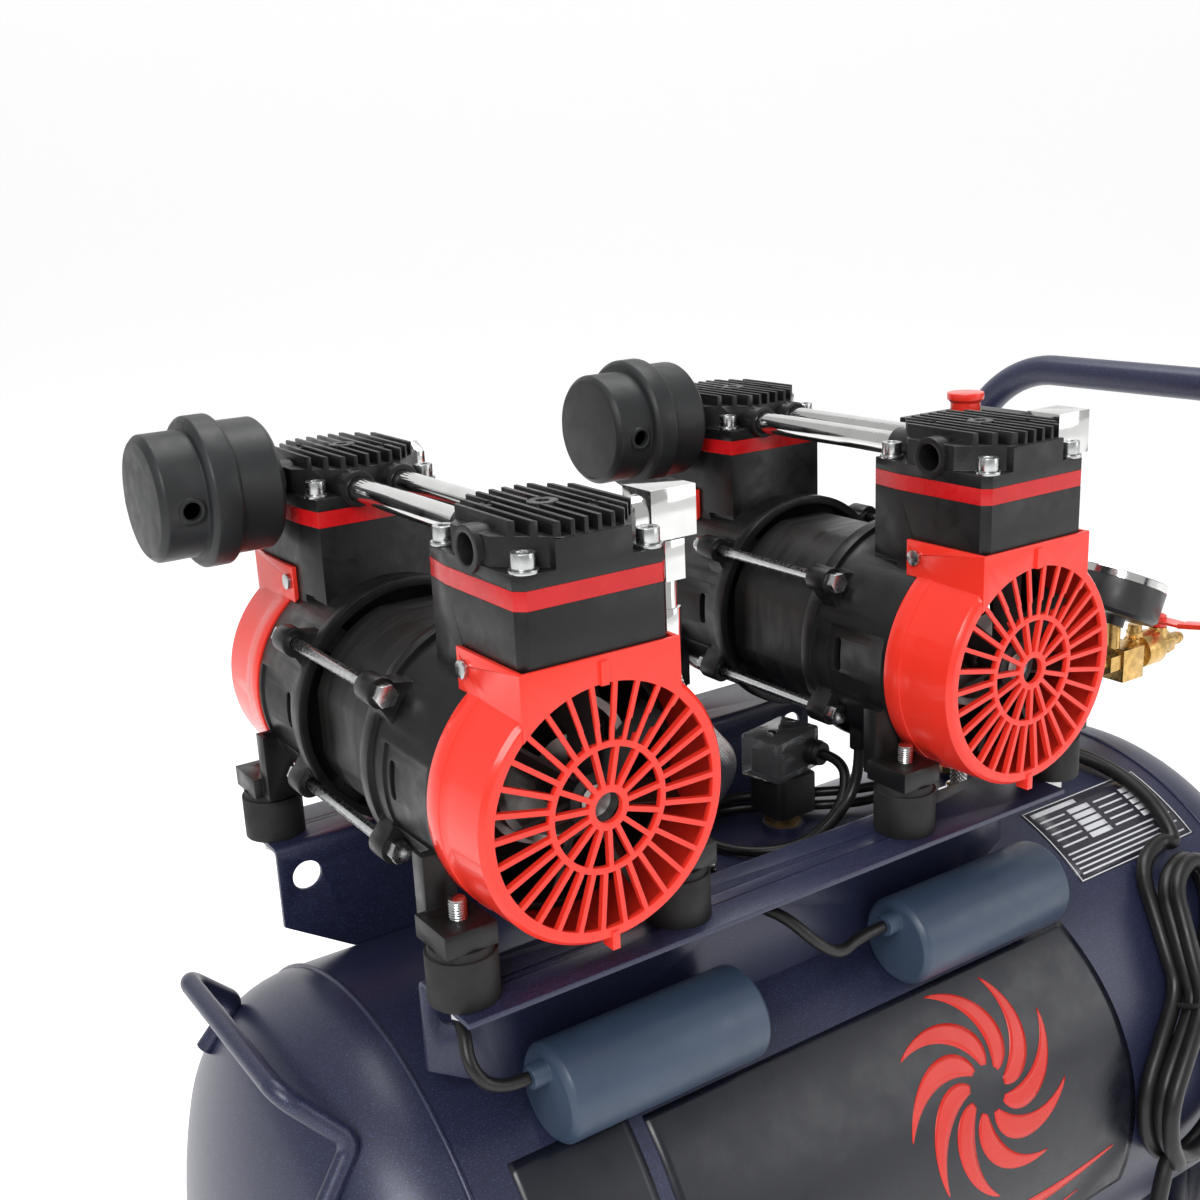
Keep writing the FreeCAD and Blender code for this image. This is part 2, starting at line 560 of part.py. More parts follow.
def piston(drop):
    """Piston, rod and open eye of one cylinder, lowered by drop."""
    eye = ("-eye_front", "-eye_back")
    crown = rod("Z", "sleeve_bore - 0.07", f"piston_high - {drop}", f"crown_high - {drop}",
                y="-bore_centre")
    link = block("-rod_half", "rod_half", "-eye_front + 1", "-eye_back - 1",
                 f"crank_throw + eye_inner + 1 - {drop}", f"piston_high + 1 - {drop}")
    loop = ring("Y", "eye_outer", "eye_inner", *eye, z=f"crank_throw - {drop}")
    return join(crown, link, loop)


# ---- fasteners of a pump ----

def tie_bolt():
    """Hexagon bolt through both castings, with its nut."""
    bolt = join(rod("Y", "tie_radius", "-lug_front - 1", "lug_front + 9"),
                hexagon(10, "-lug_front - 6", "-lug_front", "Y"))
    nut = cut(hexagon(10, "lug_front", "lug_front + 5.5", "Y"),
              rod("Y", "tie_radius", "lug_front - 1", "lug_front + 7"))
    group = doc.addObject("Part::Compound", "bolt_and_nut")
    group.Links = [bolt, nut]
    return group


def head_screw():
    """Socket screw with its washer, standing on the head's base plate."""
    screw = cut(join(rod("Z", "thread", "72", "base_top + 2"),
                     rod("Z", "5.2", "base_top + 1.6", "base_top + 8.5")),
                hexagon(5, "base_top + 5", "base_top + 9"))
    washer = ring("Z", "6.4", "thread", "base_top", "base_top + 1.6")
    group = doc.addObject("Part::Compound", "screw_and_washer")
    group.Links = [screw, washer]
    return group


def cover_screws():
    """Pan-head screws of one fan cover, one each side."""
    pair = []
    for way in ("", "-"):
        shank = ("block_half - 10", "collar_out") if way == "" else ("-collar_out", "10 - block_half")
        pan = ("collar_out", "collar_out + 2.2") if way == "" else ("-collar_out - 2.2", "-collar_out")
        pair.append(join(rod("X", "1.95", *shank, y="-screw_along", z="screw_height"),
                         rod("X", "4.2", *pan, y="-screw_along", z="screw_height")))
    group = doc.addObject("Part::Compound", "cover_screw_pair")
    group.Links = pair
    return group


def rubber_mount():
    """Rubber block between a pump foot and a rail flange."""
    return cut(join(rod("Z", "mount_radius", "-rail_top_drop", "-foot_top - foot_thick - 4"),
                    rod("Z", "mount_radius - 1.5", "-foot_top - foot_thick - 4",
                        "-foot_top - foot_thick")),
               rod("Z", "stud_radius", "-rail_top_drop - 1", "-foot_top"))


def mount_stud():
    """Stud through a rubber mount, with the nut under the rail."""
    nut = cut(hexagon(13, "-rail_top_drop - rail_sheet - 6.5", "-rail_top_drop - rail_sheet"),
              rod("Z", "stud_radius", "-rail_top_drop - 12", "-rail_top_drop"))
    group = doc.addObject("Part::Compound", "stud_and_nut")
    group.Links = [rod("Z", "stud_radius", "-rail_top_drop - rail_sheet - 9", "-foot_top + 9"), nut]
    return group


# ---- pumps ----

case_shape = crankcase()
head_shape = head()
plate_shape = valve_plate()
cover_shape = fan_cover()
silencer_shape = silencer()
stator_shape = stator()
rotor_shape = rotor_core()
fan_shape = fan()
piston_up = piston("0")
piston_down = piston("2 * crank_throw")
shaft_shape = rod("Y", "shaft_radius", "-shaft_end", "shaft_end")
crank_up = crank("")
crank_down = crank("-")

for place_name in ("left", "right"):
    pump = place_name + "_pump"
    on_pump("crankcase_front_" + place_name, case_shape, pump)
    on_pump("crankcase_rear_" + place_name, case_shape, pump, REAR)
    on_pump("stator_" + place_name, stator_shape, pump)
    on_pump("rotor_core_" + place_name, rotor_shape, pump)
    crankshaft = doc.addObject("Part::Compound", "crankshaft")
    turned_crank = doc.addObject("Part::Compound", "turned_crank")
    turned_crank.Links = [crank_down]
    turned_crank.Placement = Placement(Vector(), about(Z_WAY, REAR))
    crankshaft.Links = [shaft_shape, crank_up, turned_crank]
    on_pump("crankshaft_" + place_name, crankshaft, pump)
    node("cooling_fans_" + place_name,
         copies("fans", fan_shape, [(pump, "0", "pump_height", about(Z_WAY, turn))
                                    for turn in (FRONT, REAR)]))
    on_pump("piston_front_" + place_name, piston_up, pump)
    on_pump("piston_rear_" + place_name, piston_down, pump, REAR)
    on_pump("head_front_" + place_name, head_shape, pump)
    on_pump("head_rear_" + place_name, head_shape, pump, REAR)
    on_pump("fan_cover_front_" + place_name, cover_shape, pump)
    on_pump("fan_cover_rear_" + place_name, cover_shape, pump, REAR)
    node("silencer_" + place_name,
         copies("silencer", silencer_shape, [(pump, "port_along", "pump_height + port_height",
                                              Rotation())]))

sleeve_shape = ring("Z", "sleeve_radius", "sleeve_bore", "sleeve_foot", "block_top - 0.1",
                    y="-bore_centre")
bearing_shape = ring("Y", "bearing_radius", "shaft_radius + 0.05", "-wall_front", "-wall_back")
tube_shape = ring("Y", "tube_radius", "tube_radius - tube_wall", "-tube_end", "tube_end",
                  x="tube_out", z="tube_height")
node("valve_plates", copies("valve_plates", plate_shape, pump_spots()))
node("cylinder_sleeves", copies("cylinder_sleeves", sleeve_shape, pump_spots()))
node("bearings", copies("bearings", bearing_shape, pump_spots()))
node("crossover_tubes", copies("crossover_tubes", tube_shape, pump_spots()))
node("cover_screws", copies("cover_screws", cover_screws(), pump_spots()))

bolt_shape = tie_bolt()
node("tie_bolts", copies("tie_bolts", bolt_shape, [
    (f"{pump} {way} lug_out", "0", f"pump_height {height}", Rotation())
    for pump in ("left_pump", "right_pump") for way in ("+", "-")
    for height in ("+ lug_high", "- lug_low")]))
screw_shape = head_screw()
node("head_screws", copies("head_screws", screw_shape, [
    (f"{pump} {way} bolt_across", f"{side}bore_centre {along} bolt_along", "pump_height", Rotation())
    for pump in ("left_pump", "right_pump") for side in ("", "-")
    for way in ("+", "-") for along in ("+", "-")]))
corner_spots = [(f"{pump} {way} foot_out", f"{side}foot_along", "pump_height", Rotation())
                for pump in ("left_pump", "right_pump") for side in ("", "-") for way in ("+", "-")]
node("rubber_mounts", copies("rubber_mounts", rubber_mount(), corner_spots))
node("mount_studs", copies("mount_studs", mount_stud(), corner_spots))


# ---- tank ----

def tank_solid(name, skin):
    """The tank's outer shape, or its inside, thinner all round by skin."""
    body = doc.addObject("PartDesign::Body", name)
    sketch = body.newObject("Sketcher::SketchObject", name + "_profile")
    sketch.AttachmentSupport = (origin_plane(body, "XY_Plane"), [""])
    sketch.MapMode = "FlatFace"
    half = SIZES["tank_shell"] / 2
    grow = number(skin)
    crown = SIZES["crown_radius"] - grow
    knuckle = SIZES["knuckle_radius"] - grow
    crown_at = half - SIZES["crown_inset"]
    slope = math.asin(SIZES["crown_slope"])
    left_crown = Part.ArcOfCircle(Part.Circle(Vector(-crown_at, 0), Z_WAY, crown), math.pi - slope, math.pi)
    left_knuckle = Part.ArcOfCircle(Part.Circle(Vector(-half, SIZES["knuckle_out"]), Z_WAY, knuckle),
                                    math.pi / 2, math.pi - slope)
    right_knuckle = Part.ArcOfCircle(Part.Circle(Vector(half, SIZES["knuckle_out"]), Z_WAY, knuckle),
                                     slope, math.pi / 2)
    right_crown = Part.ArcOfCircle(Part.Circle(Vector(crown_at, 0), Z_WAY, crown), 0, slope)
    top = SIZES["tank_radius"] - grow
    shell = Part.LineSegment(Vector(-half, top), Vector(half, top))
    base = Part.LineSegment(Vector(crown_at + crown, 0), Vector(-crown_at - crown, 0))
    for piece in (left_crown, left_knuckle, shell, right_knuckle, right_crown, base):
        sketch.addGeometry(piece, False)
    for first, first_end, second, second_end in ((0, 1, 1, 2), (1, 1, 2, 1), (2, 2, 3, 2),
                                                 (3, 1, 4, 2), (4, 1, 5, 1), (5, 2, 0, 2)):
        sketch.addConstraint(Sketcher.Constraint("Coincident", first, first_end, second, second_end))
    held = [("DistanceX", 0, 3, "crown_inset - tank_shell / 2"), ("DistanceY", 0, 3, "0"),
            ("DistanceX", 1, 3, "-tank_shell / 2"), ("DistanceY", 1, 3, "knuckle_out"),
            ("DistanceX", 3, 3, "tank_shell / 2"), ("DistanceY", 3, 3, "knuckle_out"),
            ("DistanceX", 4, 3, "tank_shell / 2 - crown_inset"), ("DistanceY", 4, 3, "0"),
            ("DistanceX", 2, 1, "-tank_shell / 2"), ("DistanceY", 2, 1, f"tank_radius - {skin}"),
            ("DistanceX", 2, 2, "tank_shell / 2"), ("DistanceY", 2, 2, f"tank_radius - {skin}"),
            ("DistanceY", 0, 1, f"crown_radius * crown_slope - {skin} * crown_slope"),
            ("DistanceY", 4, 2, f"crown_radius * crown_slope - {skin} * crown_slope"),
            ("DistanceY", 0, 2, "0"), ("DistanceY", 4, 1, "0")]
    for index, (kind, piece, end, text) in enumerate(held):
        label = f"held_{index}"
        at = sketch.addConstraint(Sketcher.Constraint(kind, -1, 1, piece, end, number(text)))
        sketch.renameConstraint(at, label)
        sketch.setExpression("Constraints." + label, cells(text))
    turned = body.newObject("PartDesign::Revolution", name + "_turned")
    turned.Profile = sketch
    turned.ReferenceAxis = (sketch, ["H_Axis"])
    turned.Angle = 360
    sketch.Visibility = False
    return place(body, "tank_middle", "0", "tank_height")


PORTS = {
    # each port on the top of the tank: distance from the tank's middle, distance to the front
    "switch": ("switch_offset", "0"),
    "left_hose": ("-left_pump_offset + 140", "19"),
    "right_hose": ("pump_spacing - left_pump_offset + 60", "40"),
    "solenoid": ("solenoid_offset", "-12"),
}


def tank():
    """Hollow tank with weld beads at its seams and threaded bungs on top and below."""
    bungs = [rod("Z", "bung_radius", "tank_height + tank_radius - 12",
                 "tank_height + tank_radius + bung_rise", x=f"tank_middle + {x}", y=f"-{y}")
             for x, y in PORTS.values()]
    drain = rod("Z", "bung_radius", "tank_ground_gap - 4", "tank_ground_gap + 6", x="tank_middle")
    bores = [rod("Z", "6.5", "tank_height + tank_radius - 16",
                 "tank_height + tank_radius + bung_rise + 1", x=f"tank_middle + {x}", y=f"-{y}")
             for x, y in PORTS.values()]
    drain_bore = rod("Z", "6.5", "tank_ground_gap - 5", "tank_ground_gap + 8", x="tank_middle")
    return cut(join(tank_outside, *bungs, drain), tank_solid("tank_inside", "tank_wall"), *bores,
               drain_bore)


def seam_bead(way):
    """The weld bead where a dome meets the shell."""
    bead = bind(doc.addObject("Part::Torus", "bead"), Radius1="tank_radius", Radius2="seam_bead")
    return place(bead, f"tank_middle {way} tank_shell / 2", "0", "tank_height", TURN["X"])


tank_outside = join(tank_solid("tank_skin", "0"), seam_bead("+"), seam_bead("-"))
node("tank", tank())


# ---- rails ----

def rail():
    """Front rail: an L-shaped sheet with the flange outwards, welded on the tank."""
    ends = ("left_pump - rail_left_end", "right_pump + rail_right_end")
    top = "pump_height - rail_top_drop"
    web = block(*ends, "-rail_inner", "rail_sheet - rail_inner", "tank_height + 120",
                f"{top} - rail_bend")
    flange = block(*ends, "-rail_inner - rail_flange", "-rail_inner - rail_bend + rail_sheet",
                   f"{top} - rail_sheet", top)
    bend = common(ring("X", "rail_bend", "rail_bend - rail_sheet", *ends,
                       y="rail_sheet - rail_inner - rail_bend", z=f"{top} - rail_bend"),
                  block(*ends, "rail_sheet - rail_inner - rail_bend", "rail_sheet - rail_inner",
                        f"{top} - rail_bend", top))
    holes = [rod("Z", "stud_radius + 0.3", f"{top} - rail_sheet - 1", f"{top} + 1",
                 x=f"{pump} {way} foot_out", y="-foot_along")
             for pump in ("left_pump", "right_pump") for way in ("+", "-")]
    lift = ("-rail_inner - 1", "rail_sheet - rail_inner + 1")
    for x in ("left_pump - rail_left_end + rail_hole_inset",
              "right_pump + rail_right_end - rail_hole_inset"):
        holes.append(rod("Y", "rail_hole", *lift, x=x, z=f"{top} - rail_hole_drop"))
    holes.append(rod("Y", "lead_hole", *lift, x="right_pump - lead_hole_back",
                     z=f"{top} - rail_hole_drop - 2"))
    corners = [corner_cut("left_pump - rail_left_end", 1), corner_cut("right_pump + rail_right_end", -1)]
    return cut(join(web, flange, bend), tank_outside, *holes, *corners)


def corner_cut(x, way):
    """The slanted lower corner taken off the end of a rail's web."""
    low = "pump_height - rail_top_drop - rail_corner_drop"
    tool = block("-60", "60", "-rail_inner - 2", "rail_sheet - rail_inner + 2", "-40", "0")
    turned = doc.addObject("Part::Compound", "corner_tool")
    turned.Links = [tool]
    return place(turned, x, "0", low, about(Y_WAY, 32 * way))


rail_shape = rail()
node("rail_front", rail_shape)
rear_rail = doc.addObject("Part::Mirroring", "rear_rail")
rear_rail.Source = rail_shape
rear_rail.Normal = Y_WAY
node("rail_rear", rear_rail)


# ---- bent rods, cords and hoses ----

def route_wire(points, radii):
    """Straight runs joined by tangent arcs, one radius for each inner point."""
    edges = []
    start = points[0]
    for before, corner, after, radius in zip(points, points[1:], points[2:], radii):
        into = (corner - before).normalize()
        out = (after - corner).normalize()
        half = into.getAngle(out) / 2
        reach = radius * math.tan(half)
        first = corner - into * reach
        last = corner + out * reach
        middle = corner + (out - into).normalize() * (radius / math.cos(half) - radius)
        if (first - start).Length > 1e-6:
            edges.append(Part.LineSegment(start, first).toShape())
        edges.append(Part.Arc(first, middle, last).toShape())
        start = last
    edges.append(Part.LineSegment(start, points[-1]).toShape())
    return Part.Wire(edges)


def swept(wire, radius):
    """A round bar along a wire, as one solid."""
    start = wire.Edges[0]
    circle = Part.Wire(Part.makeCircle(radius, start.valueAt(start.FirstParameter),
                                       start.tangentAt(start.FirstParameter)))
    return wire.makePipeShell([circle], True, False)


def free_radii(points):
    """The arc radii of a cord's tube: as large as the two runs at each point allow."""
    radii = []
    for before, corner, after in zip(points, points[1:], points[2:]):
        into = corner - before
        out = after - corner
        radii.append(0.45 * min(into.Length, out.Length) / math.tan(into.getAngle(out) / 2))
    return radii


def cord_tube(label, route, diameter):
    """A cord's tube along a route given in millimetres, checked against its length."""
    points = [Vector(*spot) for spot in route]
    radii = free_radii(points)
    wire = route_wire(points, radii)
    solid = swept(wire, diameter / 2)
    exact = math.pi * diameter ** 2 / 4 * wire.Length
    if abs(solid.Volume / exact - 1) > 0.01:
        raise RuntimeError(f"{label}: the tube's volume is {solid.Volume:.0f}, not {exact:.0f}")
    print(f"{label}: length {wire.Length:.0f}, radii", [round(radius) for radius in radii])
    return solid


def feature(label, shape):
    """A sub-part whose shape is worked out here."""
    thing = doc.addObject("Part::Feature", label)
    thing.Shape = shape
    return node(label, thing)


def shifted(route, x, z):
    """A route moved along X and Z."""
    return [(px + x, py, pz + z) for px, py, pz in route]


LEFT = SIZES["left_pump"]
AXIS = SIZES["pump_height"]

HOSE = [(61.5, -105, 53), (61.5, -105, 32), (88, -98, -2), (124, -72, -32), (140, -44, -62),
        (140, -24, -84), (140, -19, -98), (140, -19, -116)]
RIGHT_HOSE = [(61.5, -105, 53), (61.5, -105, 34), (78, -97, 4), (84, -80, -30), (76, -58, -62),
              (60, -40, -88), (60, -40, -116)]
hoses = [cord_tube("left hose", shifted(HOSE, LEFT, AXIS), SIZES["hose_diameter"]),
         cord_tube("right hose", shifted(RIGHT_HOSE, SIZES["right_pump"], AXIS),
                   SIZES["hose_diameter"])]
feature("discharge_hoses", Part.Compound(hoses))


def hose_fitting_top():
    """Elbow, nut and ferrule below the front head's outlet port."""
    elbow = join(rod("X", "port_radius - 0.05", "26", "49", y="-port_along", z="port_height"),
                 rod("X", "9.5", "port_reach + 0.2", "50", y="-port_along", z="port_height"),
                 block("48", "73", "-port_along - 11", "11 - port_along", "port_height - 11",
                       "port_height + 12.5"),
                 rod("Z", "7", "103", "port_height - 10", x="61.5", y="-port_along"))
    nut = cut(hexagon(19, "84", "103", x="61.5", y="-port_along"),
              rod("Z", "4", "83", "104", x="61.5", y="-port_along"))
    ferrule = cut(join(rod("Z", "7.4", "53", "70", x="61.5", y="-port_along"),
                       rod("Z", "6", "70", "84", x="61.5", y="-port_along")),
                  rod("Z", "4", "54", "85", x="61.5", y="-port_along"))
    group = doc.addObject("Part::Compound", "hose_fitting_top")
    group.Links = [elbow, nut, ferrule]
    return group


def hose_fitting_low(x, y):
    """Check valve body and ferrule on a tank bung."""
    base = "tank_radius - pump_rise + bung_rise"
    body = join(rod("Z", "6.45", f"{base} - 12", f"{base} + 1", x=x, y=y),
                hexagon(22, base, f"{base} + 9", x=x, y=y),
                rod("Z", "7.6", f"{base} + 8", "-116", x=x, y=y))
    return body


def port_plug():
    """Plug in the rear head's spare outlet port."""
    return cut(join(rod("X", "port_radius - 0.05", "28", "port_reach", y="port_along",
                        z="port_height"),
                    hexagon(17, "port_reach", "port_reach + 6", "X", y="port_along",
                            z="port_height")),
               rod("X", "3.5", "port_reach + 1", "port_reach + 7", y="port_along", z="port_height"))


def drain_plug():
    """Hexagon plug in the drain bung under the tank."""
    low = "tank_ground_gap - 4"
    return join(rod("Z", "6.45", low, "tank_ground_gap + 3", x="tank_middle"),
                hexagon(17, f"{low} - 7", low, x="tank_middle"))


fitting_group = doc.addObject("Part::Compound", "hose_fittings")
top_fitting = hose_fitting_top()
plug_piece = port_plug()
fitting_group.Links = [
    copies("top_fittings", top_fitting, pump_spots(FRONT)),
    copies("port_plugs", plug_piece, pump_spots(FRONT)),
    copies("left_valve", hose_fitting_low("140", "-19"), [("left_pump", "0", "pump_height",
                                                          Rotation())]),
    copies("right_valve", hose_fitting_low("60", "-40"), [("right_pump", "0", "pump_height",
                                                          Rotation())]),
    drain_plug(),
]
node("hose_fittings", fitting_group)


# ---- capacitors ----

def capacitor():
    """Motor capacitor lying between the front rail's web and the tank's shoulder."""
    can = join(rod("X", "capacitor_radius", "3", "capacitor_length - 3"),
               taper("X", "capacitor_radius - 3", "capacitor_radius", "0", "3"),
               taper("X", "capacitor_radius", "capacitor_radius - 3", "capacitor_length - 3",
                     "capacitor_length"),
               rod("X", "5.8", "-9", "1", z="13"))
    return can


capacitor_shape = capacitor()
node("capacitors", copies("capacitors", capacitor_shape, [
    ("left_pump - capacitor_left", "-capacitor_out", "capacitor_height", Rotation()),
    ("right_pump - capacitor_right", "-capacitor_out", "capacitor_height", Rotation())]))


# ---- handles ----

def front_handle():
    """Carrying handle: a bent rod welded on the left dome."""
    x = LEFT
    z = AXIS
    side = [Vector(x - 123.5, 80, z - 184), Vector(x - 105, 75, z - 160), Vector(x - 133, 64, z - 130)]
    points = side + [Vector(point.x, -point.y, point.z) for point in reversed(side)]
    wire = route_wire(points, [9, 14, 14, 9])
    return swept(wire, SIZES["handle_rod"])


def push_handle():
    """Push handle: a bent tube with its legs welded to the tank's sides."""
    top_x = SIZES["tank_middle"] + SIZES["push_reach"]
    foot_x = SIZES["tank_middle"] + SIZES["push_foot"]
    half = SIZES["push_half"]
    top_z = SIZES["tank_height"] + SIZES["push_top"]
    foot_z = SIZES["tank_height"] + 50
    points = [Vector(foot_x, half, foot_z), Vector(top_x, half, top_z), Vector(top_x, -half, top_z),
              Vector(foot_x, -half, foot_z)]
    wire = route_wire(points, [SIZES["push_bend"]] * 2)
    tube = swept(wire, SIZES["push_radius"]).cut(swept(wire, SIZES["push_radius"] - SIZES["push_wall"]))
    return tube


for label, shape in (("front_handle", front_handle()), ("push_handle", push_handle())):
    bent = doc.addObject("Part::Feature", label + "_bent")
    bent.Shape = shape
    node(label, cut(bent, tank_outside))


# ---- wheels and foot ----

def wheel_bracket():
    """Plate under the tank that carries the axle; the foot of the plate is rounded."""
    x = "tank_middle + wheel_centre"
    plate = join(block(f"{x} - 30", f"{x} + 30", "-bracket_sheet / 2", "bracket_sheet / 2",
                       "wheel_radius", "tank_height"),
                 rod("Y", "14", "-bracket_sheet / 2", "bracket_sheet / 2", x=x, z="wheel_radius"))
    return plate


bracket_shape = wheel_bracket()
brackets = doc.addObject("Part::Compound", "wheel_brackets")
brackets.Links = [cut(one, tank_outside,
                      rod("Y", "axle_radius", "-200", "200", x="tank_middle + wheel_centre",
                          z="wheel_radius"))
                  for one in copies("brackets", bracket_shape,
                                    [("0", f"{way}bracket_out", "0", Rotation())
                                     for way in ("", "-")]).Links]
node("wheel_brackets", brackets)
axle_end = "wheel_inner + wheel_width + 6"
wheel_x = "tank_middle + wheel_centre"
collars = [ring("Y", "13", "axle_radius", start, end, x=wheel_x, z="wheel_radius")
           for start, end in (("bracket_out + 3", "wheel_inner - 0.3"),
                              ("0.3 - wheel_inner", "-bracket_out - 3"),
                              ("wheel_inner + wheel_width + 0.3", axle_end),
                              (f"-{axle_end.replace('+', '-')}", "-wheel_inner - wheel_width - 0.3"))]
axle_group = doc.addObject("Part::Compound", "axle")
axle_group.Links = [rod("Y", "axle_radius", "-wheel_inner - wheel_width - 9",
                        "wheel_inner + wheel_width + 9", x=wheel_x, z="wheel_radius"), *collars]
node("axle", axle_group)


def wheel():
    """Tyre and dished wheel disc about the Y axis, from 0 to the wheel's width."""
    solid = join(rod("Y", "wheel_radius", "7", "wheel_width - 7"),
                 taper("Y", "wheel_radius - 8", "wheel_radius", "1", "7"),
                 taper("Y", "wheel_radius", "wheel_radius - 8", "wheel_width - 7", "wheel_width - 1"))
    dishes = [ring("Y", "wheel_radius - 22", "18", "0", "10"),
              ring("Y", "wheel_radius - 22", "18", "wheel_width - 10", "wheel_width")]
    hub = rod("Y", "17", "0", "wheel_width")
    return cut(join(cut(solid, *dishes), hub), rod("Y", "hub_bore", "-1", "wheel_width + 1"))


wheel_shape = wheel()
node("wheel_rear", copies("wheel_rear", wheel_shape, [(wheel_x, "wheel_inner", "wheel_radius",
                                                       Rotation())]))
node("wheel_front", copies("wheel_front", wheel_shape, [(wheel_x, "-wheel_inner", "wheel_radius",
                                                         about(Z_WAY, 180))]))


def foot_bracket():
    """Folded foot under the carrying-handle end of the tank."""
    x = "tank_middle - foot_centre"
    shelf = "pad_height + bracket_sheet"
    strip = block(f"{x} - 22", f"{x} + 22", "-pad_out - 24", "pad_out + 24", "pad_height", shelf)
    sides = [block(f"{x} - 22", f"{x} + 22", *span, "pad_height", "tank_height")
             for span in (("pad_out - 30", "pad_out - 30 + bracket_sheet"),
                          ("30 - pad_out - bracket_sheet", "30 - pad_out"))]
    holes = [rod("Z", "4.3", "pad_height - 1", f"{shelf} + 1", x=x, y=way + "pad_out")
             for way in ("", "-")]
    return cut(join(strip, *sides), tank_outside, *holes)


def foot_pad():
    """Rubber foot with a fixing peg."""
    return join(taper("Z", "pad_radius - 2", "pad_radius", "0", "pad_height"),
                rod("Z", "4.2", "pad_height - 1", "pad_height + bracket_sheet + 2"),
                rod("Z", "6.5", "pad_height + bracket_sheet", "pad_height + bracket_sheet + 3"))


node("foot_bracket", foot_bracket())
node("foot_pads", copies("foot_pads", foot_pad(), [("tank_middle - foot_centre", way + "pad_out",
                                                    "0", Rotation()) for way in ("", "-")]))


# ---- air fittings ----

SWITCH_X = "tank_middle + switch_offset"
OUTLET_X = "tank_middle + outlet_offset"
VALVE_X = "tank_middle + valve_offset"
LINE = "tank_height + line_rise"


def gauge_post():
    """Brass post between the outlet block and the gauge."""
    return rod("Z", "5", f"{LINE} + 8", f"{LINE} + 31", x=f"{OUTLET_X} - 9.5")


def air_manifold():
    """Brass riser, cross piece, pipe, outlet block, valve body and hose barb."""
    riser = join(rod("Z", "6.45", "tank_height + tank_radius - 10", "switch_low", x=SWITCH_X),
                 hexagon(24, "tank_height + tank_radius + bung_rise",
                         "tank_height + tank_radius + bung_rise + 10", x=SWITCH_X),
                 block(f"{SWITCH_X} - 15", f"{SWITCH_X} + 15", "-15", "15", f"{LINE} - 14",
                       f"{LINE} + 16"),
                 hexagon(22, "switch_low - 9", "switch_low", x=SWITCH_X),
                 rod("X", "6.5", SWITCH_X, OUTLET_X, z=LINE),
                 hexagon(19, f"{SWITCH_X} + 15", f"{SWITCH_X} + 25", "X", z=LINE),
                 hexagon(19, f"{OUTLET_X} - 23", f"{OUTLET_X} - 12", "X", z=LINE),
                 block(f"{OUTLET_X} - 12", f"{OUTLET_X} + 11", "-12", "12", f"{LINE} - 15",
                       f"{LINE} + 9"),
                 rod("X", "9", f"{OUTLET_X} + 10", "tank_middle + outlet_reach - 18", z=LINE),
                 rod("X", "13", f"{VALVE_X} - 29", f"{VALVE_X} - 10", z=LINE),
                 rod("Z", "6.5", LINE, f"{LINE} + 14", x=f"{VALVE_X} - 4"),
                 rod("Z", "5", f"{LINE} + 6", f"{LINE} + 21", x=f"{OUTLET_X} + 15"),
                 hexagon(10, f"{LINE} + 11", f"{LINE} + 16", x=f"{OUTLET_X} + 15"),
                 hexagon(16, "tank_middle + outlet_reach - 24", "tank_middle + outlet_reach - 16", "X",
                         z=LINE),
                 rod("X", "tail_radius", "tank_middle + outlet_reach - 17",
                     "tank_middle + outlet_reach - 6.5", z=LINE),
                 rod("X", "tail_radius - 0.7", "tank_middle + outlet_reach - 7",
                     "tank_middle + outlet_reach - 4.5", z=LINE),
                 taper("X", "tail_radius - 0.1", "tail_radius - 1", "tank_middle + outlet_reach - 5",
                       "tank_middle + outlet_reach", z=LINE),
                 gauge_post())
    bore = [rod("X", "3", f"{VALVE_X} + 3", "tank_middle + outlet_reach + 1", z=LINE),
            rod("Z", "3.05", f"{LINE} + 2", f"{LINE} + 15", x=f"{VALVE_X} - 4")]
    return cut(riser, *bore)


node("air_manifold", air_manifold())


def tilted(label, piece):
    """A piece of the gauge, leaned back towards the push handle."""
    lean = doc.addObject("Part::Compound", label)
    lean.Links = [piece]
    return place(lean, f"{OUTLET_X} - 19.75", "0", f"{LINE} + 25.9",
                 about(Y_WAY, SIZES["gauge_tilt"]))


def gauge():
    """Gauge case with stem, open dial recess and needle post."""
    case = join(rod("Z", "gauge_radius", "13", "gauge_depth + 9"),
                taper("Z", "gauge_radius - 3", "gauge_radius", "10", "13"),
                rod("Z", "7.4", "3.5", "11", x="8"))
    recess = ring("Z", "gauge_radius - 2.5", "1.5", "gauge_depth + 4", "gauge_depth + 10")
    tip = rod("Z", "2", "gauge_depth + 7.5", "gauge_depth + 10")
    return cut(case, recess, tip)


def needle():
    """Gauge needle on its post, a little above the dial."""
    hub = ring("Z", "3.4", "1.56", "gauge_depth + 4.6", "gauge_depth + 6.2")
    hand = block("3", "gauge_radius - 9", "-0.8", "0.8", "gauge_depth + 4.9", "gauge_depth + 5.9")
    return join(hub, hand)


node("pressure_gauge", cut(tilted("gauge_body", gauge()), gauge_post()))
zero_needle = doc.addObject("Part::Compound", "zero_needle")
zero_needle.Links = [needle()]
zero_needle.Placement = Placement(Vector(), about(Z_WAY, -45))
node("gauge_needle", tilted("gauge_needle", zero_needle))


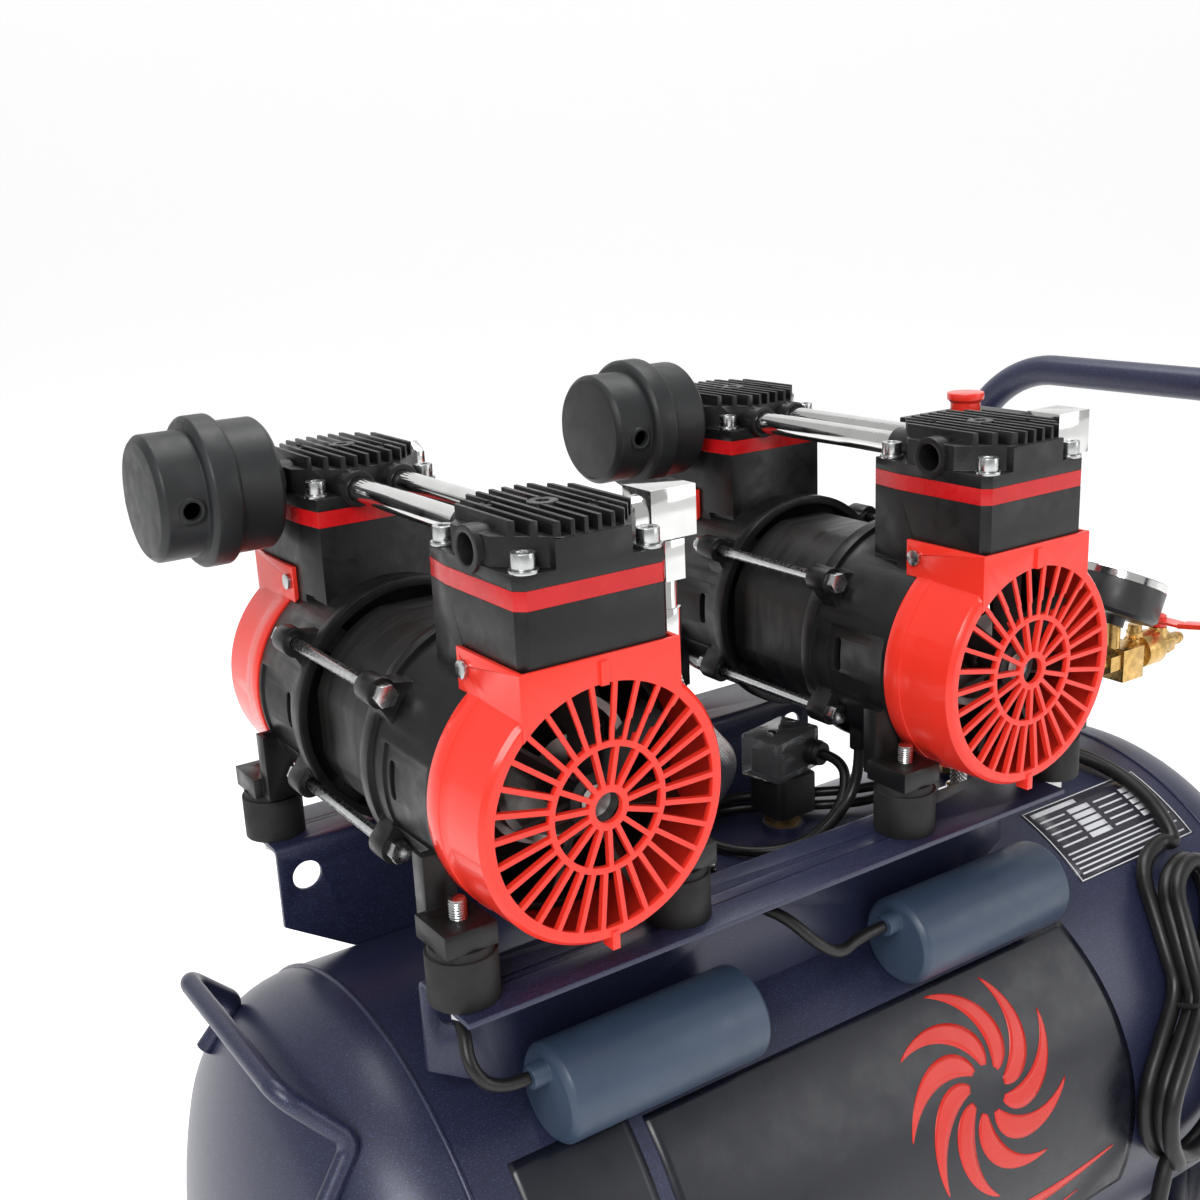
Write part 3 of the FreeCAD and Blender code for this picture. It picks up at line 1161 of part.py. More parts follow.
def valve_lever():
    """Red lever on its stem, closed: it points to the front."""
    x = f"{VALVE_X} - 4"
    top = f"{LINE} + 18"
    grip = doc.addObject("Part::Compound", "lever_grip")
    grip.Links = [block("-6", "6", "-42", "0", "-0.5", "3")]
    place(grip, x, "-20", top, about(X_WAY, -10))
    return join(rod("Z", "3", f"{LINE} + 6", f"{top} + 6", x=x),
                rod("Z", "6", f"{LINE} + 14.3", f"{top} + 1", x=x),
                block(f"{x} - 6", f"{x} + 6", "-22", "7", top, f"{top} + 2"), grip,
                hexagon(10, f"{top} + 1", f"{top} + 5", x=x))


node("valve_lever", valve_lever())


def pressure_switch():
    """Pressure switch housing on the riser, with a well for the knob and cable glands."""
    low = "switch_low"
    top = "switch_low + switch_rise"
    span = (f"{SWITCH_X} - switch_half_x", f"{SWITCH_X} + switch_half_x", "-switch_half_y",
            "switch_half_y")
    inset = (f"{SWITCH_X} - switch_half_x + 4", f"{SWITCH_X} + switch_half_x - 4",
             "4 - switch_half_y", "switch_half_y - 4")
    glands = [rod("Z", "6", f"{low} - 9", f"{low} + 1", x=f"{SWITCH_X} - gland_back", y=y)
              for y in ("-14", "0", "14")]
    housing = join(block(*span, f"{low} + 8", f"{top} - 5"),
                   block(*inset, f"{top} - 6", top),
                   block(*inset, low, f"{low} + 9"), *glands,
                   rod("Z", "8.5", f"{low} - 10", f"{low} + 1", x=f"{SWITCH_X} + gland_back",
                       y="-16"))
    well = rod("Z", "knob_neck + 0.3", f"{top} - 14", f"{top} + 1", x=SWITCH_X)
    return cut(housing, well)


def switch_knob():
    """Red knob: pulled up it switches on, pushed down it switches off."""
    low = "switch_low + switch_rise"
    top = "switch_low + switch_rise + knob_rise"
    return join(rod("Z", "knob_neck", f"{low} - 7", f"{top} - 5", x=SWITCH_X),
                taper("Z", "knob_neck", "knob_radius", f"{top} - 6", f"{top} - 4", x=SWITCH_X),
                rod("Z", "knob_radius", f"{top} - 4", top, x=SWITCH_X))


node("pressure_switch", pressure_switch())
node("switch_knob", switch_knob())


def solenoid_valve():
    """Start unloading valve: brass base, coil, clear plug and its cable gland."""
    x = "tank_middle + solenoid_offset"
    base = "tank_height + tank_radius + bung_rise"
    brass = join(rod("Z", "6.45", f"{base} - 12", f"{base} + 1", x=x, y="12"),
                 hexagon(20, base, f"{base} + 8", x=x, y="12"))
    coil = block(f"{x} - 15", f"{x} + 15", "-3", "27", f"{base} + 8", f"{base} + 34")
    plug = join(block("-21", "21", "-15", "15", "0", "26"),
                rod("Y", "8", "-25", "-14", x="10", z="13"),
                rod("Z", "3", "25", "27.5", x="-8"))
    lean = doc.addObject("Part::Compound", "clear_plug")
    lean.Links = [plug]
    place(lean, x, "14", f"{base} + 34", about(Z_WAY, 12))
    group = doc.addObject("Part::Compound", "solenoid_group")
    group.Links = [brass, coil, lean]
    return group


node("solenoid_valve", solenoid_valve())


# ---- leads and power cord ----

LEAD_LEFT = [(-33, -116.2, -135.03), (-50, -116.2, -135.03), (-61, -112, -121), (-56, -100, -107),
             (-53, -82, -104), (-47, -64, -98), (-37, -52, -82), (-37, -52, -62)]
LEAD_RIGHT = [(192, -116.2, -135.03), (174, -116.2, -135.03), (157, -120, -138), (142, -119, -127),
              (129, -110, -111), (120.5, -97, -106.8), (120.5, -79, -106.4), (136, -66, -109),
              (160, -59, -112), (186, -56, -111), (213, -54, -103), (235.4, -52, -84),
              (235.4, -52, -62)]
LEAD_SWITCH_LEFT = [(37, 52, -62), (37, 52, -82), (48, 55, -104), (70, 57, -119), (98, 59, -127),
                    (130, 61, -132), (164, 63, -135.5), (196, 63, -136.5), (224, 59, -136),
                    (246, 37, -132.5), (266, 13, -129.5), (290, -3, -128.5), (314, -8, -124),
                    (334, -6, -108), (346, -3, -78), (352, 0, -44), (352, 0, -5)]
LEAD_SWITCH_RIGHT = [(309.4, 52, -62), (309.4, 52, -84), (322, 43, -104), (338, 32, -106),
                     (349, 22, -90), (354, 17, -60), (352, 14, -32), (352, 14, -5)]
LEAD_SOLENOID = [(247.13, -8.37, -83), (250.25, -23.05, -83), (243, -33, -98), (228, -36, -113),
                 (212, -29, -125), (196, -18, -129), (183, -3, -130), (177, 15, -130.5),
                 (181, 35, -129), (196, 50, -127.5), (220, 56, -127), (244, 40, -125),
                 (264, 17, -121.5), (286, -2, -119), (308, -14, -115), (329, -19, -102),
                 (343, -19, -76), (352, -14, -44), (352, -14, -5)]
CORD = [(398, -16, -6), (398, -16, -34), (401, -18, -62), (410, -19, -90), (428, -19, -111),
        (447, -26, -127), (461, -47, -133), (466.5, -76, -144), (463.5, -98, -157.2),
        (455, -114, -168)]
TAIL = [(366, -183, -320), (357, -185, -336), (350, -187, -358), (347, -186, -386),
        (347, -187, -414), (347, -187, -440)]
HANK = [(446, -166), (416, -174), (407, -193), (401, -215), (400, -232), (377, -252), (356, -275),
        (354, -300), (366, -322), (390, -335), (418, -325), (432, -303), (430, -276), (424, -255),
        (423, -236), (436, -217), (455, -200), (462, -182)]


HANK_LEAN = 18


def beside_tank(x, drop):
    """A point of the hank's middle line: x along the tank, drop down from the pump axis."""
    radius = SIZES["tank_radius"] + SIZES["hank_gap"] + SIZES["hank_depth"] / 2
    rise = min(max(drop + SIZES["pump_rise"], 0), radius)
    return Vector(x + LEFT, -math.sqrt(radius ** 2 - rise ** 2), drop + AXIS)


def hank():
    """The tied hank: a loop drawn in at its waist, with the band of the tie round it."""
    middle = Part.BSplineCurve()
    middle.interpolate([beside_tank(*spot) for spot in HANK], PeriodicFlag=True)
    out = Vector(0, -math.cos(math.radians(HANK_LEAN)), math.sin(math.radians(HANK_LEAN)))
    start = middle.value(middle.FirstParameter)
    along = middle.tangent(middle.FirstParameter)[0]
    across = along.cross(out).normalize()
    oval = Part.Ellipse(Vector(), SIZES["hank_depth"] / 2, SIZES["hank_width"] / 2).toShape()
    oval.Placement = Placement(start, Rotation(across.cross(along), across, along, "XYZ"))
    pipe = Part.BRepOffsetAPI.MakePipeShell(Part.Wire(middle.toShape()))
    pipe.setBiNormalMode(out)
    pipe.add(Part.Wire(oval))
    pipe.build()
    pipe.makeSolid()
    loop = pipe.shape()
    waist = beside_tank(411.5, -234)
    out = Vector(0, waist.y, waist.z - SIZES["tank_height"]).normalize()
    down = out.cross(X_WAY).normalize()
    band = Part.makeBox(38, 9, SIZES["hank_depth"] + 1.0, Vector(-19, -4.5, -SIZES["hank_depth"] / 2))
    band = band.makeFillet(4.2, [edge for edge in band.Edges
                                 if abs(edge.tangentAt(edge.FirstParameter).y) > 0.9])
    band.Placement = Placement(waist, Rotation(X_WAY, down, out, "XYZ"))
    print("hank: middle line", round(middle.length()), "volume", round(loop.Volume),
          "cord in it", round(loop.Volume / (math.pi * SIZES["cord_diameter"] ** 2 / 4)))
    return loop.fuse(band)


hank_solid = hank()
feature("cord_hank", hank_solid)
leads = [cord_tube(name, shifted(route, LEFT, AXIS), SIZES["lead_diameter"])
         for name, route in (("left capacitor lead", LEAD_LEFT), ("right capacitor lead", LEAD_RIGHT),
                             ("left motor lead", LEAD_SWITCH_LEFT),
                             ("right motor lead", LEAD_SWITCH_RIGHT),
                             ("unloading valve lead", LEAD_SOLENOID))]
feature("supply_leads", Part.Compound(leads))
runs = []
for name, route in (("power cord", CORD), ("power cord's free end", TAIL)):
    tube = cord_tube(name, shifted(route, LEFT, AXIS), SIZES["cord_diameter"]).cut(hank_solid)
    runs.append(max(tube.Solids, key=lambda piece: piece.Volume))
feature("power_cord", Part.Compound(runs))


def power_plug():
    """Moulded mains plug hanging on the cord's free end, with two round pins."""
    x = LEFT + TAIL[-1][0]
    y = TAIL[-1][1]
    z = AXIS + TAIL[-1][2]
    neck = Part.makeCone(6.5, 9, 22, Vector(x, y, z), -Z_WAY)
    grip = Part.makeCylinder(14, 20, Vector(x, y, z - 20), -Z_WAY)
    face = Part.makeCylinder(18.5, 5, Vector(x, y, z - 38), -Z_WAY)
    pins = [Part.makeCylinder(2.4, 20, Vector(x + way * 9.5, y, z - 42), -Z_WAY) for way in (-1, 1)]
    return neck.fuse([grip, face, *pins]).removeSplitter()


feature("power_plug", power_plug())


def write():
    """Check every object and write each node's STEP file."""
    doc.recompute()
    for thing in doc.Objects:
        if "Invalid" in thing.State or "Error" in thing.State:
            raise RuntimeError(f"{thing.Name} ({thing.Label}) failed: {thing.State}")
    os.makedirs("parts", exist_ok=True)
    for thing in NODES:
        shape = thing.Shape
        if shape.isNull() or not shape.isValid():
            raise RuntimeError(f"{thing.Label} has no valid shape")
        shape.exportStep(os.path.join("parts", thing.Label + ".step"))
        box = shape.BoundBox
        print(f"{thing.Label}: {len(shape.Solids)} solids, {shape.Volume / 1000:.1f} cm3, "
              f"x {box.XMin:.1f}..{box.XMax:.1f} y {box.YMin:.1f}..{box.YMax:.1f} "
              f"z {box.ZMin:.1f}..{box.ZMax:.1f}")



write()
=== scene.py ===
"""Twin-motor oil-free air compressor: finishes and fine pieces laid over its CAD frame, in metres."""

import math

import bmesh
import bpy
import numpy as np
from mathutils import Matrix, Vector


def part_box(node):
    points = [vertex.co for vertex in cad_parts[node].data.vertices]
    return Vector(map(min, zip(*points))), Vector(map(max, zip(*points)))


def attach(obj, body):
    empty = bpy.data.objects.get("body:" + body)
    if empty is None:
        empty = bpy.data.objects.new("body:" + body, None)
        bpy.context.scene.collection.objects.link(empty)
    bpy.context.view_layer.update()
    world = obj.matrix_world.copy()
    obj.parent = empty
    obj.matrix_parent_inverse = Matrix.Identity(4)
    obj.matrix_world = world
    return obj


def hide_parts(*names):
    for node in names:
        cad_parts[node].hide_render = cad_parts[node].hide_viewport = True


bl_info = {
    "name": "Twin-motor compressor",
    "version": (1, 0, 0),
    "blender": (4, 5, 0),
    "location": "View3D > Sidebar > Compressor",
    "description": "Finishes and fine pieces of a twin-motor oil-free compressor",
    "category": "Object",
}

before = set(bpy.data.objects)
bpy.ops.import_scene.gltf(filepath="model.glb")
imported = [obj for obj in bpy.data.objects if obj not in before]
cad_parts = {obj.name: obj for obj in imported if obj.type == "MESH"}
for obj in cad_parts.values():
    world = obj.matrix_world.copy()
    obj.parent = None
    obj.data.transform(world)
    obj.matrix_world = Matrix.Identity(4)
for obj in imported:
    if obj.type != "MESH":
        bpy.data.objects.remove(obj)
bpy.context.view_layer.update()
MACHINE = "machine"


def middle(node):
    """Middle of a node's box at rest."""
    low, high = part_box(node)
    return (np.array(low) + np.array(high)) / 2


LEFT_PUMP = middle("rotor_core_left")
RIGHT_PUMP = middle("rotor_core_right")
AXIS = LEFT_PUMP[2]
PUMP_RISE = 0.303
HANK_RADIUS = 0.1831
GAUGE_TILT = math.radians(24.5)
GAUGE_FOOT = (0.29605, 0.0, 0.4949)
TANK_AXIS = AXIS - PUMP_RISE
ORIGIN = np.array([LEFT_PUMP[0], 0.0, AXIS])

# Routes of the hoses and cords, from the left motor's axis.
LEFT_HOSE = [(0.0615, -0.105, 0.053), (0.0615, -0.105, 0.032), (0.088, -0.098, -0.002),
             (0.124, -0.072, -0.032), (0.140, -0.044, -0.062), (0.140, -0.024, -0.084),
             (0.140, -0.019, -0.098), (0.140, -0.019, -0.116)]
RIGHT_HOSE = [(0.0615, -0.105, 0.053), (0.0615, -0.105, 0.034), (0.078, -0.097, 0.004),
              (0.084, -0.080, -0.030), (0.076, -0.058, -0.062), (0.060, -0.040, -0.088),
              (0.060, -0.040, -0.116)]
LEFT_CAPACITOR_LEAD = [(-0.033, -0.1162, -0.13503), (-0.050, -0.1162, -0.13503), (-0.061, -0.112, -0.121),
                       (-0.056, -0.100, -0.107), (-0.053, -0.082, -0.104), (-0.047, -0.064, -0.098),
                       (-0.037, -0.052, -0.082), (-0.037, -0.052, -0.062)]
RIGHT_CAPACITOR_LEAD = [(0.192, -0.1162, -0.13503), (0.174, -0.1162, -0.13503), (0.157, -0.120, -0.138),
                        (0.142, -0.119, -0.127), (0.129, -0.110, -0.111), (0.1205, -0.097, -0.1068),
                        (0.1205, -0.079, -0.1064), (0.136, -0.066, -0.109), (0.160, -0.059, -0.112),
                        (0.186, -0.056, -0.111), (0.213, -0.054, -0.103), (0.2354, -0.052, -0.084),
                        (0.2354, -0.052, -0.062)]
LEFT_MOTOR_LEAD = [(0.037, 0.052, -0.062), (0.037, 0.052, -0.082), (0.048, 0.055, -0.104),
                   (0.070, 0.057, -0.119), (0.098, 0.059, -0.127), (0.130, 0.061, -0.132),
                   (0.164, 0.063, -0.1355), (0.196, 0.063, -0.1365), (0.224, 0.059, -0.136),
                   (0.246, 0.037, -0.1325), (0.266, 0.013, -0.1295), (0.290, -0.003, -0.1285),
                   (0.314, -0.008, -0.124), (0.334, -0.006, -0.108), (0.346, -0.003, -0.078),
                   (0.352, 0.0, -0.044), (0.352, 0.0, -0.005)]
RIGHT_MOTOR_LEAD = [(0.3094, 0.052, -0.062), (0.3094, 0.052, -0.084), (0.322, 0.043, -0.104),
                    (0.338, 0.032, -0.106), (0.349, 0.022, -0.090), (0.354, 0.017, -0.060),
                    (0.352, 0.014, -0.032), (0.352, 0.014, -0.005)]
VALVE_LEAD = [(0.24713, -0.00837, -0.083), (0.25025, -0.02305, -0.083), (0.243, -0.033, -0.098),
              (0.228, -0.036, -0.113), (0.212, -0.029, -0.125), (0.196, -0.018, -0.129),
              (0.183, -0.003, -0.130), (0.177, 0.015, -0.1305), (0.181, 0.035, -0.129),
              (0.196, 0.050, -0.1275), (0.220, 0.056, -0.127), (0.244, 0.040, -0.125),
              (0.264, 0.017, -0.1215), (0.286, -0.002, -0.119), (0.308, -0.014, -0.115),
              (0.329, -0.019, -0.102), (0.343, -0.019, -0.076), (0.352, -0.014, -0.044),
              (0.352, -0.014, -0.005)]
CORD_START = [(0.398, -0.016, -0.006), (0.398, -0.016, -0.034), (0.401, -0.018, -0.062),
              (0.410, -0.019, -0.090), (0.428, -0.019, -0.111), (0.447, -0.026, -0.127),
              (0.461, -0.047, -0.133), (0.4665, -0.076, -0.144), (0.4635, -0.098, -0.1572),
              (0.455, -0.114, -0.168)]
CORD_END = [(0.366, -0.183, -0.320), (0.357, -0.185, -0.336), (0.350, -0.187, -0.358),
            (0.347, -0.186, -0.386), (0.347, -0.187, -0.414), (0.347, -0.187, -0.440)]
# One turn of the tied hank, along the tank and down from the motor's axis.
HANK_TURN = [(0.446, -0.166), (0.416, -0.174), (0.407, -0.193), (0.401, -0.215), (0.400, -0.232),
             (0.377, -0.252), (0.356, -0.275), (0.354, -0.300), (0.366, -0.322), (0.390, -0.335),
             (0.418, -0.325), (0.432, -0.303), (0.430, -0.276), (0.424, -0.255), (0.423, -0.236),
             (0.436, -0.217), (0.455, -0.200), (0.462, -0.182)]

# Which nodes share a finish and the roundness of their edges.
CASTINGS = [f"{part}_{side}" for part in ("crankcase_front", "crankcase_rear", "head_front", "head_rear")
            for side in ("left", "right")]
COVERS = [f"{part}_{side}" for part in ("fan_cover_front", "fan_cover_rear") for side in ("left", "right")]
ROTORS = [f"rotor_core_{side}" for side in ("left", "right")]
SHAFTS = [f"crankshaft_{side}" for side in ("left", "right")]
FANS = [f"cooling_fans_{side}" for side in ("left", "right")]
STATORS = [f"stator_{side}" for side in ("left", "right")]
SILENCERS = [f"silencer_{side}" for side in ("left", "right")]
PISTONS = [f"piston_{end}_{side}" for end in ("front", "rear") for side in ("left", "right")]


# ---------------------------------------------------------------- settings

def length_setting(name, description, default):
    """A length in metres."""
    return bpy.props.FloatProperty(name=name, description=description, default=default, min=0.0,
                                   unit="LENGTH", precision=5)


def colour_setting(name, description, default):
    """A colour in scene-linear values."""
    return bpy.props.FloatVectorProperty(name=name, description=description, default=default, size=3,
                                         min=0.0, max=1.0, subtype="COLOR")


class CompressorColours(bpy.types.PropertyGroup):
    """Colours that a user would change."""
    paint: colour_setting("Paint", "Powder coat of tank, rails and handles", (0.018, 0.022, 0.055))
    capacitor: colour_setting("Capacitors", "Moulded capacitor cases", (0.032, 0.052, 0.090))
    cover: colour_setting("Fan covers", "Glossy fan covers and knob", (0.80, 0.035, 0.020))
    plate: colour_setting("Valve plates", "Spacer plates under the heads", (0.50, 0.007, 0.009))
    casting: colour_setting("Castings", "Black painted castings", (0.0070, 0.0070, 0.0072))
    silencer: colour_setting("Silencers", "Intake silencers", (0.016, 0.017, 0.018))
    brass: colour_setting("Brass", "Brass fittings", (0.62, 0.40, 0.14))
    decal: colour_setting("Decal ground", "Dark ground of the side decal", (0.006, 0.007, 0.013))
    emblem: colour_setting("Emblem", "Plain curved blades of the side decal", (0.60, 0.020, 0.010))


class CompressorSizes(bpy.types.PropertyGroup):
    """Sizes of the fine pieces."""
    edge: length_setting("Edge", "Roundness of moulded and cast edges", 0.0004)
    tank_radius: length_setting("Tank radius", "Outside of the tank's barrel", 0.169)
    hose: length_setting("Hose", "Diameter of a braided hose", 0.0104)
    lead: length_setting("Lead", "Diameter of a motor or capacitor lead", 0.0064)
    cord: length_setting("Cord", "Diameter of the power cord", 0.0100)
    braid_height: length_setting("Braid height", "Depth of the weave on a hose", 0.00045)
    braid_strands: bpy.props.IntProperty(name="Braid strands", description="Strands each way round a hose",
                                         default=12, min=6, max=24)
    hank_layer: length_setting("Hank layer", "How far apart the turns of the hank lie", 0.0085)
    film: length_setting("Film", "Thickness of a printed label", 0.0002)


class CompressorStage(bpy.types.PropertyGroup):
    """Camera."""
    eye: bpy.props.FloatVectorProperty(name="Eye", description="Place of the camera", size=3,
                                       default=(-0.54339, -0.62477, 0.81537), subtype="TRANSLATION")
    heading: bpy.props.FloatProperty(name="Heading", description="Turn to the right of the rear",
                                     default=math.radians(33.31), subtype="ANGLE")
    dip: bpy.props.FloatProperty(name="Dip", description="Tilt below the horizon",
                                 default=math.radians(16.02), subtype="ANGLE")
    roll: bpy.props.FloatProperty(name="Roll", description="Roll of the camera",
                                  default=math.radians(-2.74), subtype="ANGLE")
    lens: bpy.props.FloatProperty(name="Lens", description="Focal length on a 36 mm sensor",
                                  default=43.47, min=10.0)


# ---------------------------------------------------------------- shader nodes

def shader(name, colour, rough, metal=0.0, coat=0.0, glass=0.0, shine=0.5):
    """A material with its Principled shader's plain values set, and that shader."""
    material = bpy.data.materials.get(name) or bpy.data.materials.new(name)
    material.use_nodes = True
    tree = material.node_tree
    tree.nodes.clear()
    output = tree.nodes.new("ShaderNodeOutputMaterial")
    surface = tree.nodes.new("ShaderNodeBsdfPrincipled")
    tree.links.new(surface.outputs["BSDF"], output.inputs["Surface"])
    surface.inputs["Base Color"].default_value = (*colour, 1)
    surface.inputs["Roughness"].default_value = rough
    surface.inputs["Metallic"].default_value = metal
    surface.inputs["Coat Weight"].default_value = coat
    surface.inputs["Transmission Weight"].default_value = glass
    surface.inputs["Specular IOR Level"].default_value = shine
    return material, surface


def noise(material, size, detail=3.0, stretch=(1.0, 1.0, 1.0)):
    """Noise on object coordinates whose grain is size metres, stretched along an axis if asked."""
    nodes, links = material.node_tree.nodes, material.node_tree.links
    place = nodes.new("ShaderNodeTexCoord")
    turn = nodes.new("ShaderNodeMapping")
    turn.inputs["Scale"].default_value = stretch
    grain = nodes.new("ShaderNodeTexNoise")
    grain.inputs["Scale"].default_value = 1.0 / size
    grain.inputs["Detail"].default_value = detail
    links.new(place.outputs["Object"], turn.inputs["Vector"])
    links.new(turn.outputs["Vector"], grain.inputs["Vector"])
    return grain.outputs["Fac"]


def spread_between(material, value, low, high, from_low=0.35, from_high=0.65):
    """A value mapped from one range to another, held at its ends."""
    nodes, links = material.node_tree.nodes, material.node_tree.links
    mapped = nodes.new("ShaderNodeMapRange")
    mapped.inputs["From Min"].default_value = from_low
    mapped.inputs["From Max"].default_value = from_high
    mapped.inputs["To Min"].default_value = low
    mapped.inputs["To Max"].default_value = high
    links.new(value, mapped.inputs["Value"])
    return mapped.outputs["Result"]


def relief(material, surface, height, depth, strength=1.0):
    """Bump from a height value; depth is in metres."""
    nodes, links = material.node_tree.nodes, material.node_tree.links
    bump = nodes.new("ShaderNodeBump")
    bump.inputs["Strength"].default_value = strength
    bump.inputs["Distance"].default_value = depth
    links.new(height, bump.inputs["Height"])
    links.new(bump.outputs["Normal"], surface.inputs["Normal"])


def tint(material, surface, value, dark, light):
    """Base colour that runs between two colours with a value."""
    nodes, links = material.node_tree.nodes, material.node_tree.links
    ramp = nodes.new("ShaderNodeValToRGB")
    ramp.color_ramp.elements[0].position = 0.30
    ramp.color_ramp.elements[1].position = 0.70
    ramp.color_ramp.elements[0].color = (*dark, 1)
    ramp.color_ramp.elements[1].color = (*light, 1)
    links.new(value, ramp.inputs["Fac"])
    links.new(ramp.outputs["Color"], surface.inputs["Base Color"])


def shade(colour, factor):
    """A colour made darker or lighter."""
    return tuple(min(1.0, channel * factor) for channel in colour)


def varied(name, colour, rough, metal=0.0, coat=0.0, patch=0.03, change=0.15, grain=0.0005,
           depth=0.00002, rough_change=0.06, stretch=(1.0, 1.0, 1.0), shine=0.5):
    """A finish with soft patches of tone and gloss and a fine grain in its surface."""
    material, surface = shader(name, colour, rough, metal, coat, shine=shine)
    patches = noise(material, patch, 4.0)
    tint(material, surface, patches, shade(colour, 1 - change), shade(colour, 1 + change))
    gloss = noise(material, patch / 3, 3.0, stretch)
    material.node_tree.links.new(spread_between(material, gloss, rough - rough_change, rough + rough_change),
                                 surface.inputs["Roughness"])
    relief(material, surface, noise(material, grain, 2.0, stretch), depth)
    return material


# ---------------------------------------------------------------- finishes

def powder_coat(colour):
    """Navy powder coat: fine orange peel with pale metallic flecks."""
    material, surface = shader("powder_coat", colour, 0.38, 0.15, coat=0.15)
    fleck = spread_between(material, noise(material, 0.00055, 1.0), 0.0, 1.0, 0.58, 0.72)
    tint(material, surface, fleck, shade(colour, 0.85), shade(colour, 3.2))
    surface.inputs["Coat Roughness"].default_value = 0.25
    relief(material, surface, noise(material, 0.0012, 2.0), 0.00006, 0.7)
    return material


def gloss_red(colour):
    """Glossy moulded plastic of the fan covers."""
    return varied("cover_red", colour, 0.22, coat=0.15, patch=0.05, change=0.05, grain=0.006,
                  depth=0.00005, rough_change=0.04, shine=0.35)


def plate_red(colour):
    """Deep red anodised spacer plate."""
    return varied("plate_red", colour, 0.28, coat=0.1, patch=0.02, change=0.10, grain=0.0008, shine=0.35)


def black_casting(colour):
    """Satin black paint over sand-cast metal."""
    return varied("black_casting", colour, 0.36, patch=0.03, change=0.25, grain=0.0009,
                  depth=0.00006, rough_change=0.08, shine=0.34)


def silencer_grey(colour):
    """Matte dark grey moulded plastic."""
    return varied("silencer_grey", colour, 0.44, patch=0.03, change=0.12, grain=0.0006, depth=0.00003,
                  shine=0.35)


def chrome(name="chrome", rough=0.10):
    """Bright plating with faint long draw marks."""
    return varied(name, (0.70, 0.70, 0.69), rough, 1.0, patch=0.02, change=0.06, grain=0.003,
                  depth=0.000006, rough_change=0.03)


def zinc():
    """Plated screws: pale grey metal, slightly dull."""
    return varied("zinc_plate", (0.50, 0.51, 0.51), 0.24, 1.0, patch=0.006, change=0.12, grain=0.0016,
                  depth=0.000002)


def laminated_steel():
    """Stator stack: thin black-varnished sheets on edge, with dull streaks."""
    return varied("stator_stack", (0.010, 0.010, 0.0095), 0.42, patch=0.02, change=0.30, grain=0.0012,
                  depth=0.00008, rough_change=0.10, stretch=(0.15, 1.0, 0.15), shine=0.40)


def brass(colour):
    """Cast and turned brass with a warm, uneven tarnish."""
    return varied("brass", colour, 0.32, 1.0, patch=0.006, change=0.25, grain=0.0012, depth=0.00001,
                  rough_change=0.10)


def rubber(name="black_rubber", colour=(0.014, 0.014, 0.014), rough=0.62):
    """Black rubber, faintly dusty."""
    return varied(name, colour, rough, patch=0.02, change=0.25, grain=0.0010, depth=0.00004, shine=0.3)


def cord_jacket():
    """Smooth black cord jacket."""
    return varied("cord_jacket", (0.008, 0.008, 0.008), 0.36, patch=0.02, change=0.20, grain=0.0015,
                  depth=0.00003, shine=0.4)


def moulded_black():
    """Black moulded nylon of switch, fans and connectors."""
    return varied("moulded_black", (0.010, 0.010, 0.0105), 0.42, patch=0.02, change=0.15, grain=0.0007,
                  depth=0.00003, shine=0.4)


def capacitor_blue(colour):
    """Slate-blue moulded case with a soft sheen."""
    return varied("capacitor_blue", colour, 0.40, patch=0.03, change=0.08, grain=0.0006, depth=0.00003)


def dipped_red(colour):
    """Thick red vinyl dip on the lever."""
    return varied("dipped_red", shade(colour, 1.05), 0.28, coat=0.3, patch=0.02, change=0.06, grain=0.003,
                  depth=0.0001)


def plain_steel():
    """Machined steel."""
    return varied("machined_steel", (0.30, 0.30, 0.29), 0.34, 1.0, patch=0.01, change=0.12, grain=0.0012,
                  depth=0.000004)


def clear_plastic():
    """Smoky clear plastic."""
    material, surface = shader("clear_plastic", (0.62, 0.64, 0.66), 0.08, glass=0.9)
    surface.inputs["IOR"].default_value = 1.45
    relief(material, surface, noise(material, 0.004, 2.0), 0.00004)
    return material


def printed(name, colour, rough=0.35):
    """Printed film."""
    return varied(name, colour, rough, patch=0.05, change=0.05, grain=0.002, depth=0.00001)


def braided_steel():
    """Stainless braid: bright wires with painted shade, darker where the fine bump noise is low, standing for
    the dark between the strands.
    """
    material, surface = shader("braided_steel", (0.55, 0.55, 0.54), 0.30, 1.0)
    fine = noise(material, 0.0006, 2.0)
    # Painted shade: the noise that bumps the surface also darkens its low spots.
    tint(material, surface, fine, (0.30, 0.30, 0.30), (0.68, 0.68, 0.66))
    relief(material, surface, fine, 0.00005)
    return material


# ---------------------------------------------------------------- mesh work

def sheet_of_quads(rows, columns, wrap):
    """Corner numbers of the quads of a grid, and their rows and columns before wrapping."""
    row, column = np.meshgrid(np.arange(rows - 1), np.arange(columns if wrap else columns - 1), indexing="ij")
    corner_rows = np.stack([row, row, row + 1, row + 1], -1).reshape(-1, 4)
    corner_columns = np.stack([column, column + 1, column + 1, column], -1).reshape(-1, 4)
    return corner_rows * columns + corner_columns % columns, corner_rows, corner_columns


